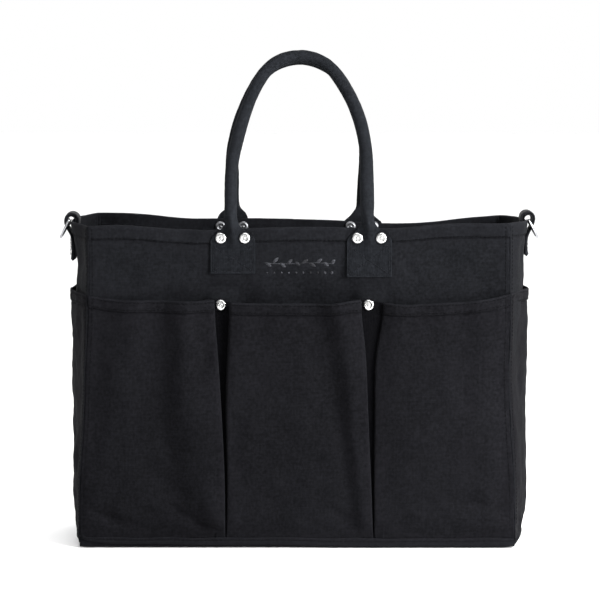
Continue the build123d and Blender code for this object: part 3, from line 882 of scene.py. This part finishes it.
def foot_ring(off, z, count=620, soft=3.6):
    """A level line round the bag, off mm outside the front and back walls, with soft corners."""
    points = []
    for side in ROUND_THE_FOOT:
        out = off if side in ("front", "back") else off - 1.7
        points.append(wall_point(side, np.linspace(0, 1, 220)[:-1], z, out, POCKET_SAG.get(side)))
    points = np.concatenate(points)
    closed = np.concatenate([points, points[:1]])
    run = distance_along(closed)
    at = np.arange(count) * run[-1] / count
    ring = np.stack([np.interp(at, run, closed[:, k]) for k in range(3)], -1)
    reach = np.arange(-14, 15)
    weights = np.exp(-((reach * run[-1] / count / soft) ** 2) / 2)
    return sum(w * np.roll(ring, r, 0) for r, w in zip(reach, weights)) / weights.sum()


def foot_lift(ring):
    """The band's lower edge waves a little above the floor."""
    x, y = ring[:, 0], ring[:, 1]
    front, back = spline(FOOT_WAVE["front"], x), spline(FOOT_WAVE["back"], -x)
    share = step((y + HALF_DEPTH) / (2 * HALF_DEPTH))
    return front * (1 - share) + back * share


BAND = ((-10, 0.9), (-5, 0.35), (-1.4, 0.1), (0.8, 0.4), (2.2, 1.4), (3.0, 3.0), (3.25, 4.6), (3.25, 5.8),
        (3.15, 6.5), (3.05, 7.0), (3.1, 7.5), (3.05, 8.4), (2.85, 9.2), (2.6, 9.9), (2.3, 10.4))
BAND_T = 1.1


def band_ring(off, z):
    ring = foot_ring(off, max(z, 2.0))
    lift = foot_lift(ring) * np.clip((13 - z) / 11, 0, 1)
    wander = 0.35 * waves(ring[:, 0], ring[:, 1], 60, 301) * np.clip(z / 12, 0, 1)
    ring[:, 2] = z + lift + wander
    return ring


def base():
    rings = np.stack([band_ring(off, z) for off, z in BAND])
    wear_and_painted_shading = np.array([0.2, 0.25, 0.3, 0.35, 0.35, 0.35, 0.3, 0.25, 0.2, 0.1, 0.15, 0.2, 0.25, 0.3, 0.3])
    band = cloth("base_band", rings, BAND_T, BINDING, wear_and_painted_shading[:, None], closed=True)
    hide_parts("base_binding")
    v, u = np.meshgrid(np.linspace(1, -1, 60), np.linspace(-1, 1, 150), indexing="ij")
    half = corner_x(4.0) - 2 + 3.6 * (1 - v**2)
    x, y = u * half + sway(4.0), v * (HALF_DEPTH + 1.5)
    edges = np.maximum(step((np.abs(u) - 0.9) / 0.1), step((np.abs(v) - 0.85) / 0.15))
    z = 0.9 + 0.5 * waves(x, y, 90, 311) * (1 - edges) + 1.1 * edges + 0.12 * waves(x, y, 22, 312)
    z = z + foot_lift(np.stack([x, y, z], -1).reshape(-1, 3)).reshape(z.shape) * edges
    points = np.stack([x, y, np.maximum(z, 0.3)], -1)
    floor_cloth = cloth("base_cloth", points, 2.6, BINDING, 0.1 + 0.3 * edges)
    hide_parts("base_panel")
    2 * (corner_x(4.0) + 8) * MM
    outward = rings[9] - foot_ring(0.0, 7.7)
    outward[:, 2] = 0.0
    closed = np.concatenate([rings[9], rings[9, :1]])
    stitching("base_stitches", [(closed, np.concatenate([outward, outward[:1]]))], THREAD)


def corner_seams():
    """The rolled seam down each corner, outside and in."""
    corners = (("front", 0), ("front", 1), ("back", 0), ("back", 1))
    for number, (side, end) in enumerate(corners):
        rim = spline(RIMS[side], (2 * end - 1) * SEAM_X)
        for inside in (False, True):
            z = np.linspace(12.0 if not inside else 5.0, rim - 0.8, 130)
            corner = wall_point(side, end, z, 0.0)
            out = np.sign(corner[:, :2]) * (0.72, 0.72)
            covered = step((spline(MOUTHS[side], (2 * end - 1) * SEAM_X) + 1 - z) / 5)
            push = (1.1 * covered - 0.45) if not inside else -3.0 + 0 * z
            centre = corner.copy()
            centre[:, :2] += out * push[:, None]
            centre[:, 0] += 0.25 * waves(z, 0 * z, 40, 320 + number)
            radius = (0.85 if not inside else 1.9) * (1 + 0.07 * waves(z, 0 * z, 12, 330 + number))
            radius *= np.sqrt(np.clip(1.02 - np.abs(np.linspace(-1, 1, len(z))) ** 40, 0.05, 1))
            angle = tau * np.arange(10) / 10
            ring = np.zeros((len(z), 10, 3))
            ring[..., 0] = centre[:, :1] + radius[:, None] * np.cos(angle)
            ring[..., 1] = centre[:, 1:2] + radius[:, None] * np.sin(angle)
            ring[..., 2] = z[:, None]
            loft(f"corner_{'tape' if inside else 'seam'}_{number + 1}", ring, WALL, 0.0)


def seam_stitches(pockets):
    """Topstitching beside the corner seams, along the rim and along the pocket mouths."""
    inset, rim, seams = 4.6, [], []
    for side in SIDES:
        surface, span = panel_surface(side), 2 * half_span(side)
        us = np.linspace(inset / span, 1 - inset / span, int(span / 2.5))
        rim.append(line_on(surface, us, HEM - 0.6))
        mouth = RIM_Z - (SIDE_MOUTH_Z if side in ("left", "right") else MOUTH_Z) - 3
        for u in (inset / span, 1 - inset / span):
            seams.append(line_on(surface, u, np.linspace(mouth, 1.5, 60)))
    stitching("rim_stitches", rim, THREAD)
    hems = []
    for side in ("left", "right"):
        surface, span = side_pocket_surface(side), 2 * HALF_DEPTH
        us = np.linspace(inset / span, 1 - inset / span, 90)
        hems += [line_on(surface, us, d) for d in (1.8, POCKET_HEM - 1.4)]
        for u in (inset / span, 1 - inset / span):
            seams.append(line_on(surface, u, np.linspace(SIDE_MOUTH_Z - 24, 1.5, 90)))
    stitching("side_pocket_stitches", hems, THREAD)
    for side, pocket in pockets.items():
        points, bays = pocket["points"], pocket["bays"]
        normal = normals_of(points)
        lines = []
        for depth in (1.9, POCKET_HEM - 1.4):
            row = int(np.argmin(np.abs(pocket["depths"] - depth)))
            for bay in range(3):
                on = np.flatnonzero(bays == bay)
                on = on[(3 if bay == 0 else 1):(-3 if bay == 2 else -1)]
                lines.append((points[row, on], normal[row, on]))
        stitching(f"{side}_pocket_stitches", lines, THREAD)
        first, last = np.flatnonzero(bays == 0)[3], np.flatnonzero(bays == 2)[-4]
        rows = slice(4, len(points) - 1)
        for k in (first, last):
            seams.append((points[rows, k], normal[rows, k]))
    stitching("corner_stitches", seams, THREAD)


# Handles: the canvas tube round each rope runs down into a flat tab at each end

HANDLE_RISE = 174.0
CROWN_R = 47.0
CROWN_SHIFT_Z = {"front": 0.9, "rear": -1.2}
LEG = 50.0
SOFT_BEND = 12.0
ROPE_R, ROPE_LAY = 5.2, 42.0
ROPE_START, STITCH_START = 20, 24  # distances past the bend
SEAM_ANGLE, STITCH_ANGLE = 205, 222  # where the tube's seam and its stitches run, round the section
BLEND_BELOW, BLEND_ABOVE = 12, 16  # distances below and above the hinge line; the points worked out from them are not used
ROUND = 72
LEAN = asin((BEND_Y - TUBE_R - 0.4) / HANDLE_RISE)
TAB_HALF_W, TAB_T = 23.0, 3.0
TAB_MIDDLE = BEND_Y - TAB_FACE + TAB_T / 2


def handle_stations():
    """Middle, sideways and outward directions and distance past the bend, from the right tab to the crown."""
    crown_z = HANDLE_RISE - CROWN_R
    rise = crown_z - LEG
    side_r = (LEG_X**2 + rise**2 - CROWN_R**2) / (2 * (LEG_X - CROWN_R))
    side_angle = asin(rise / (side_r - CROWN_R))
    low = TAB_LOW_Z - BEND_Z
    legs = np.concatenate([[low, low + 0.25, low + 0.8], np.arange(low + 2, -34, 2.2),
                           np.arange(-34, 16, 1.25), np.arange(16, LEG, 2.6)])
    plane = [(LEG_X, s, 0.0, s) for s in legs]
    for k in np.arange(0, side_angle, 2.6 / side_r):
        plane.append((LEG_X - side_r + side_r * cos(k), LEG + side_r * sin(k), k, LEG + side_r * k))
    before = LEG + side_r * side_angle
    for k in np.linspace(side_angle, pi / 2, 26):
        plane.append((CROWN_R * cos(k), crown_z + CROWN_R * sin(k), k, before + CROWN_R * (k - side_angle)))
    out = []
    for x, up, turn, s in plane:
        if s < SOFT_BEND:
            q = max((s + SOFT_BEND) / (2 * SOFT_BEND), 0)
            y = -BEND_Y + (q * q * SOFT_BEND * sin(LEAN) if q > 0 else 0)
            z = BEND_Z + (s if q == 0 else -SOFT_BEND * (1 - q) ** 2 + SOFT_BEND * cos(LEAN) * q * q)
            lean = LEAN * q
        else:
            y, z = -BEND_Y + up * sin(LEAN), BEND_Z + up * cos(LEAN)
            lean = LEAN
        sideways = (cos(turn), sin(turn) * sin(lean), sin(turn) * cos(lean))
        out.append(((x, y, z), sideways, (0.0, -cos(lean), sin(lean)), s))
    return out


FLARES = {  # half the tab's width on its way into the tube, by leg: 1 is on the right as seen from outside
    "front": {leg: ((-30, 23.0), (-27, 22.0), (-24, 19.4), (-20, 14.6), (-16, 9.8), (-12, 7.4), (-8, 6.8))
              for leg in (1, -1)},
    "rear": {1: ((-27, 23.0), (-24, 20.4), (-20, 17.4), (-16, 15.8), (-13, 14.2), (-10.5, 12.2), (-8, 9.8),
                 (-4, 7.4), (0, 6.8)),
             -1: ((-27, 23.0), (-24, 21.8), (-20, 18.6), (-17, 15.0), (-15, 12.8), (-10, 9.2), (-5, 7.2),
                  (-1, 6.8))},
}
TAB_DROP = {1: 2.6, -1: -0.8}  # the front tabs end at slightly different heights
LEG_LEAN = {  # how far each leg stands to the right of a straight one, along its length
    1: ((10, 0.0), (35, -0.4), (75, 0.0), (120, 0.5), (160, 0.5), (200, 0.8), (260, 0.9)),
    -1: ((10, 0.0), (35, 0.0), (50, 0.8), (65, 2.3), (80, 3.6), (100, 4.2), (120, 3.7), (150, 1.7),
         (180, 0.8), (200, 0.8)),
}
REAR_LEAN = {  # and the rear handle's, whose leg 1 is behind the front one's left leg
    1: ((-8, 0.0), (4, 1.6), (25, 1.7), (45, 1.8), (70, 0.8), (100, -0.8), (130, -1.0), (160, -0.6),
        (195, -0.5)),
    -1: ((-22, 0.0), (-12, 1.1), (20, 1.0), (45, -0.2), (80, -1.4), (130, -1.6), (160, -1.4), (195, -0.5)),
}
LEG_WIDTH = {1: 0.07, -1: -0.06}  # how much thicker or thinner each leg is by its tab


def handle_section(name, s, leg):
    """Sideways and outward places round the tube or tab at s. leg is 1 on the right and -1 on the left."""
    angle = tau * (np.arange(ROUND) + 0.5) / ROUND
    c, n = np.cos(angle), np.sin(angle)
    flare = float(spline(FLARES[name][leg], s))
    low = TAB_LOW_Z - BEND_Z
    shrink = 0.75 * max(1 - (s - low) / 0.8, 0) ** 2
    half_w, half_t = flare - shrink, TAB_T / 2 - shrink * 0.9
    tab_x = half_w * np.clip(c / cos(radians(14)), -1, 1)
    tab_n = half_t * np.clip(n / sin(radians(14)), -1, 1)
    ridge = spline(((-47, 0), (-38, 1.1), (-27, 3.4), (-20, 5.8), (-14, 8.0), (-7, 9.6), (2, 10.8)), s)
    front = n > 0
    rivets = np.exp(-(((np.abs(tab_x) - 12.2) / 7) ** 4) - ((s + 26.5) / 7) ** 4)
    tab_n = tab_n + front * (ridge * np.exp(-((tab_x / 5.4) ** 2)) * (1 - rivets))
    edge_gap = np.minimum(half_w - np.abs(tab_x), s - low)
    sewn = -0.4 * np.exp(-(((edge_gap - 2.4) / 1.1) ** 2))
    sewn = sewn + 0.25 * waves(tab_x, s + 0 * tab_x, 9, 400 + leg) * step((edge_gap - 2) / 4)
    tab_n = tab_n + front * sewn * (s < -20) * (1 - rivets)
    wide = 1 + LEG_WIDTH[leg] * float(step((s + 2) / 12) * step((62 - s) / 45))
    size = (TUBE_R - 0.45) * (1 + 0.02 * float(waves(np.array(s), np.array(0.0), 70, 410 + leg)))
    size = size * (1 - (0.05 if leg > 0 else 0.09) * float(step((s - 80) / 50) * step((195 - s) / 30)))
    size = size * (1 + 0.010 * waves(s + 0 * angle, angle * 6, 9, 420 + leg, along=3) * float(step(s / 20)))
    seam = 0.75 * np.exp(-(((angle - radians(SEAM_ANGLE)) / 0.16) ** 2)) * float(step((s - 8) / 20))
    tube_x, tube_n = (size + seam) * c * wide, (size + seam) * n
    k = float(step((s + 11) / 11))
    tab_x = tab_x + leg * TAB_SHIFT * (1 - float(step((s + 30) / 34)))
    return tab_x * (1 - k) + tube_x * k, (tab_n - TAB_MIDDLE) * (1 - k) + tube_n * k


def handle_rings(name):
    rings = []
    for leg in (1, -1):
        rows = []
        for centre, sideways, outward, s in handle_stations():
            across, out = handle_section(name, s, leg)
            ring = np.array(centre) + across[:, None] * np.array(sideways) + out[:, None] * np.array(outward)
            ring[:, 0] *= leg
            if name == "front":
                ring[:, 0] += float(spline(LEG_LEAN[leg], s))
                ring[:, 2] -= TAB_DROP[leg] * float(step((-32 - s) / 20))
            else:
                ring[:, 0] += float(spline(REAR_LEAN[leg], s))
            ring[:, 2] += CROWN_SHIFT_Z[name] * float(step((s - 145) / 40))
            rows.append(ring)
        rings.append(np.stack(rows))
    crown = (rings[0][-1] + rings[1][-1]) / 2
    return np.concatenate([rings[0][:-1], crown[None], rings[1][:-1][::-1]])


def turned(points):
    return points * (-1, -1, 1)


def handle(name):
    rear = name == "rear"
    rings = handle_rings(name)
    s = np.array([row[3] for row in handle_stations()])
    s = np.concatenate([s, s[:-1][::-1]])
    angle = tau * (np.arange(ROUND) + 0.5) / ROUND
    seam_at = int(np.argmin(np.abs(angle - radians(STITCH_ANGLE))))
    middle = rings.mean(1)
    seam_line = rings[:, seam_at]
    on_tube = s > STITCH_START
    seam = (seam_line[on_tube], (seam_line - middle)[on_tube])
    low = TAB_LOW_Z - BEND_Z
    on_tab = step((-8 - s) / 14)[:, None]
    from_side = TAB_HALF_W - np.abs(np.abs(rings[..., 0] - TAB_SHIFT) - LEG_X)
    from_edge = np.minimum(from_side, s[:, None] - low)
    # The tabs are darker than the tube: less faded cloth and painted shade; their sewn edges are rubbed pale.
    wear_and_painted_shading = on_tab * (0.3 * np.exp(-((from_edge / 1.5) ** 2)) * (s < -19)[:, None] - 0.45)
    if rear:
        rings, seam = turned(rings), tuple(turned(v) for v in seam)
    piece = loft(f"{name}_handle_tube", rings, HANDLE, wear_and_painted_shading, body=None)
    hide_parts(f"{name}_handle_cover", f"{name}_left_handle_tab", f"{name}_right_handle_tab")
    pivot = Vector((0, -BEND_Y, BEND_Z)) * MM
    up = Vector((0, sin(LEAN), cos(LEAN)))
    start, end = pivot - up * BLEND_BELOW * MM, pivot + up * BLEND_ABOVE * MM
    if rear:
        start, end = Vector((-start.x, -start.y, start.z)), Vector((-end.x, -end.y, end.z))
    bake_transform(piece)
    stitching(f"{name}_tube_stitches", [seam], THREAD, body=f"{name}_handle")
    rope(name, rings[s > ROPE_START])
    tab_stitches(name, rear)


def rope(name, rings):
    """The three-strand rope inside the tube."""
    middle = rings.mean(1)
    ways = [rings[:, k] - rings[:, k + ROUND // 2] for k in (0, ROUND // 4)]
    ways = [w / np.linalg.norm(w, axis=1, keepdims=True) for w in ways]
    run = distance_along(middle)[:, None]
    angle = tau * np.arange(36)[None] / 36 + 0 * run
    strands = np.sqrt(np.abs(np.cos(1.5 * (angle - run * tau / ROPE_LAY))))
    radius = (ROPE_R * (0.84 + 0.16 * strands))[..., None]
    c, n = np.cos(angle)[..., None], np.sin(angle)[..., None]
    points = middle[:, None] + radius * (c * ways[0][:, None] + n * ways[1][:, None])
    piece = loft(f"{name}_handle_rope", points, ROPE, body=f"{name}_handle")
    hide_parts(f"{name}_handle_core")


def on_tab_face(x, z):
    return x, -TAB_FACE - 0.05, z


def tab_stitches(name, rear):
    """A sewn box with a cross in it below each tab's rivets."""
    wide, high = 20.4, TAB_LOW_Z + 29.5
    lines = []
    for leg in (-1, 1):
        x = TAB_SHIFT + leg * LEG_X
        low = TAB_LOW_Z + 2.6 - (0 if rear else TAB_DROP[leg])
        lines += straight_lines(box_and_cross(x, wide, low, high, 1.5), 12, on_tab_face, (0.0, -1.0, 0.0))
        edges = [((x + end * wide, high + 3), (x + end * wide, high + 14.5)) for end in (-1, 1)]
        lines += straight_lines(edges, 8, on_tab_face, (0.0, -1.0, 0.0))
    if rear:
        lines = [(turned(p), turned(n)) for p, n in lines]
    stitching(f"{name}_tab_stitches", lines, TAB_THREAD, pitch=3.3)


# Webbing loops that hold the strap rings

LOOP = ((241.0, 0), (240.0, 4), (239.4, 11), (239.4, 314), (240.6, 320), (243.2, 325), (245.8, 330),
        (247.0, 335.6), (245.6, 340.8), (241.8, 344.0), (236.8, 344.2), (232.8, 341.6), (230.9, 337),
        (231.2, 331), (231.6, 325), (231.7, 315), (231.6, 300))
LOOP_END_Z = {"right": 300.4, "left": 295.4}
LOOP_HALF_W, LOOP_T = 12.0, 2.4
LOOP_FACE_X = 239.5  # where the loop's stitches lie
ROLL_X, ROLL_Z, ROLL_R = 239.4, 336.1, 5.1  # the roll round the ring's bar
LINING_T = 1.0  # thin enough to clear the ring's bar, so the roll stays open round it


def band_along(path, half_w, seed):
    """Rows of points along a smooth line through path (x, z), across the webbing's width."""
    path = np.array(path, float)
    run = distance_along(path)
    at = np.linspace(0, run[-1], int(run[-1] / 1.1))
    x, z = spline(np.stack([run, path[:, 0]], -1), at), spline(np.stack([run, path[:, 1]], -1), at)
    y = np.concatenate([[-1, -0.975, -0.93], np.linspace(-0.86, 0.86, 21), [0.93, 0.975, 1]])
    lift = 0.28 * waves(at[:, None], y[None] * 12, 26, seed) - 0.45 * np.abs(y[None]) ** 10
    tangent = np.stack([np.gradient(x), np.gradient(z)], -1)
    tangent /= np.linalg.norm(tangent, axis=1, keepdims=True)
    px = x[:, None] + lift * tangent[:, 1:2]
    pz = z[:, None] - lift * tangent[:, 0:1]
    width = half_w * (1 + 0.012 * waves(at, 0 * at, 14, seed + 1))
    return np.stack([px, y[None] * width[:, None], pz], -1)


def on_loop_face(y, z):
    return LOOP_FACE_X, y, z


def ring_loop(side):
    turn = 1 if side == "right" else -1
    tail = [(x - (1.2 if turn < 0 else 0.0), z + LOOP_END_Z[side]) for x, z in LOOP[:3]]
    out, up = (0.8, 1.0) if side == "right" else (-0.8, -0.4)  # the two rolls sit a little differently
    top = [(x + out * float(step((z - 316) / 12)), z + up * float(step((z - 318) / 12))) for x, z in LOOP[3:]]
    rows = band_along(tail + top, LOOP_HALF_W, 500 + turn)
    angles = [radians(a) for a in range(-70, 250, 20)]
    roll = [(ROLL_X + out + ROLL_R * cos(a), ROLL_Z + up + ROLL_R * sin(a)) for a in angles]
    inner = band_along(roll, LOOP_HALF_W - 0.5, 510 + turn)
    ends = np.linspace(0, 1, len(rows))
    wear_and_painted_shading = 0.9 * np.exp(-((ends / 0.03) ** 2)) + 0.15 * np.exp(-(((ends - 0.5) / 0.12) ** 2))
    if turn < 0:
        rows, inner = turned(rows), turned(inner)
    thick = LOOP_T + 1.9 * step((0.24 - ends) / 0.12)
    loop = cloth(f"{side}_ring_loop", rows, thick[:, None], WEBBING, wear_and_painted_shading[:, None])
    cloth(f"{side}_ring_loop_lining", inner, LINING_T, WEBBING, 0.2)
    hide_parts(f"{side}_ring_webbing")
    low, high, half = LOOP_END_Z[side] + 4.0, 317.0, 9.2
    lines = straight_lines(box_and_cross(0.0, half, low, high, 1.0), 10, on_loop_face, (1.0, 0.0, 0.0))
    if turn < 0:
        lines = [(turned(p), turned(n)) for p, n in lines]
    stitching(f"{side}_loop_stitches", lines, THREAD, pitch=3.3)


# A faint printed sprig with a row of dots, between the front tabs

def on_front(x, z):
    rim = spline(RIMS["front"], x)
    depth = (1 - (z - FOOT_Z) / (rim - FOOT_Z)) * (RIM_Z - FOOT_Z)
    return line_on(panel_surface("front"), (x / SEAM_X + 1) / 2, depth)


def sprig():
    shapes = []
    t = np.linspace(0, 1, 9)
    for k in range(10):
        x, z = -33.5 + 7.4 * k, 296.8 + 0.7 * sin(k * 1.9)
        tilt = radians(38 if k % 2 else -34) + 0.15 * sin(k * 2.3)
        length, width = 7.6 + 0.8 * sin(k * 1.3), 1.75
        along, across = (t - 0.12) * length, width * np.sin(pi * t) ** 0.8
        leaf = np.concatenate([np.stack([along, across], -1),
                               np.stack([along[::-1], -across[::-1]], -1)[1:-1]])
        turn = np.array([[cos(tilt), sin(tilt)], [-sin(tilt), cos(tilt)]])
        shapes.append(leaf @ turn + (x, z))
        angle = tau * np.arange(14) / 14
        radius = 0.85 + 0.08 * k
        shapes.append(np.stack([x + 0.8 + radius * np.cos(angle), 286.6 + radius * np.sin(angle)], -1))
    stem = np.linspace(-36, 36, 60)
    line = 296.4 + 0.6 * np.sin(stem / 9)
    shapes.append(np.concatenate([np.stack([stem, line + 0.35], -1),
                                  np.stack([stem[::-1], line[::-1] - 0.35], -1)]))
    points, faces, uv = [], [], []
    for outline in shapes:
        place, normal = on_front(outline[:, 0], outline[:, 1])
        middle = on_front(*(np.array([v]) for v in outline.mean(0)))
        n, first = len(outline), sum(len(p) for p in points)
        stem_like = n > 60
        for lift in (0.14, -0.25):
            points.append(place + normal * lift)
            points.append(middle[0] + middle[1] * lift)
            uv += [outline, outline.mean(0)[None]]
        low = first + n + 1
        for i in range(n):
            e = (i + 1) % n
            faces.append((first + i, low + i, low + e, first + e))
            if not stem_like:
                faces += [(first + i, first + e, first + n), (low + e, low + i, low + n)]
        if stem_like:
            half = n // 2
            for i in range(half - 1):
                a, b, c, d = i, i + 1, n - 2 - i, n - 1 - i
                faces += [(first + a, first + b, first + c, first + d), (low + d, low + c, low + b, low + a)]
    add_mesh("sprig_print", np.concatenate(points), faces, np.concatenate(uv), INK)


# Make everything

for wall_side in SIDES:
    wall(wall_side)
pocket_cloths = {side: front_pocket(side) for side in ("front", "back")}
for pocket_side in ("left", "right"):
    side_pocket(pocket_side)
    ring_loop(pocket_side)
base()
corner_seams()
seam_stitches(pocket_cloths)
for handle_name in ("front", "rear"):
    handle(handle_name)
sprig()

FINISHES = {"rivet_caps": RIVET, "rivet_backs": SHADED_RIVET_BACK, "d_ring": RING}
for node_name, node in frame["nodes"].items():
    for ending, finish in FINISHES.items():
        if node_name.endswith(ending):
            node.data.materials.clear()
            node.data.materials.append(finish)
            node.data.polygons.foreach_set("use_smooth", [True] * len(node.data.polygons))


# Studio

def area_light(name, place, target, size, strength):
    """strength is how bright the light makes a white surface facing it, where the sky alone makes 1."""
    lamp = bpy.data.objects.new(name, bpy.data.lights.new(name, "AREA"))
    bpy.context.scene.collection.objects.link(lamp)
    way = Vector(target) - Vector(place)
    lamp.data.shape = "SQUARE"
    lamp.data.size = size
    lamp.data.energy = strength * pi * pi * way.length_squared
    lamp.location = place
    lamp.rotation_euler = way.to_track_quat("-Z", "Y").to_euler()


area_light("key", (1.1, -1.0, 0.75), (0.0, -0.08, 0.2), 0.8, 2.6)
area_light("top", (0.1, -0.5, 2.4), (0.0, 0.0, 0.3), 1.4, 0.6)
area_light("fill", (-2.0, -2.6, 1.0), (0.0, 0.0, 0.22), 1.6, 0.05)

# The sky lights the object mostly from behind and above, and looks white everywhere.
world = bpy.data.worlds.new("studio")
bpy.context.scene.world = world
world.use_nodes = True
sky = world.node_tree
way = sky.nodes.new("ShaderNodeSeparateXYZ")
sky.links.new(sky.nodes.new("ShaderNodeTexCoord").outputs["Generated"], way.inputs[0])
depth = sky.nodes.new("ShaderNodeMapRange")
depth.interpolation_type = "SMOOTHSTEP"
for socket, value in (("From Min", 0.1), ("From Max", 0.8), ("To Min", 0.5), ("To Max", 3.2)):
    depth.inputs[socket].default_value = value
sky.links.new(way.outputs[1], depth.inputs["Value"])
seen = sky.nodes.new("ShaderNodeMix")
seen.inputs["B"].default_value = 1.0
sky.links.new(sky.nodes.new("ShaderNodeLightPath").outputs["Is Camera Ray"], seen.inputs["Factor"])
sky.links.new(depth.outputs["Result"], seen.inputs["A"])
sky.links.new(seen.outputs["Result"], sky.nodes["Background"].inputs["Strength"])
sky.nodes["Background"].inputs["Color"].default_value = (1.0, 1.0, 1.0, 1.0)

floor_mesh = bpy.data.meshes.new("floor")
floor_mesh.from_pydata([(-9, -9, -0.0003), (9, -9, -0.0003), (9, 9, -0.0003), (-9, 9, -0.0003)], [],
                       [(0, 1, 2, 3)])
floor = bpy.data.objects.new("floor", floor_mesh)
bpy.context.scene.collection.objects.link(floor)
pale = Look("pale_floor")
floor_mesh.materials.append(pale.finish(Base_Color=(0.96, 0.96, 0.96, 1.0), Roughness=0.9,
                                        Specular_IOR_Level=0.1))

CAMERA_PLACE, LOOKS_DOWN = (0.00103, -3.005, 0.568), 6.03

camera = bpy.data.objects.new("camera", bpy.data.cameras.new("camera"))
bpy.context.scene.collection.objects.link(camera)
camera.location = CAMERA_PLACE
camera.rotation_euler = (radians(90 - LOOKS_DOWN), 0.0, 0.0)
camera.data.sensor_width = 36.0
camera.data.lens = 171.96
camera.data.clip_end = 60.0
bpy.context.scene.camera = camera
bpy.context.scene.view_settings.view_transform = "Standard"
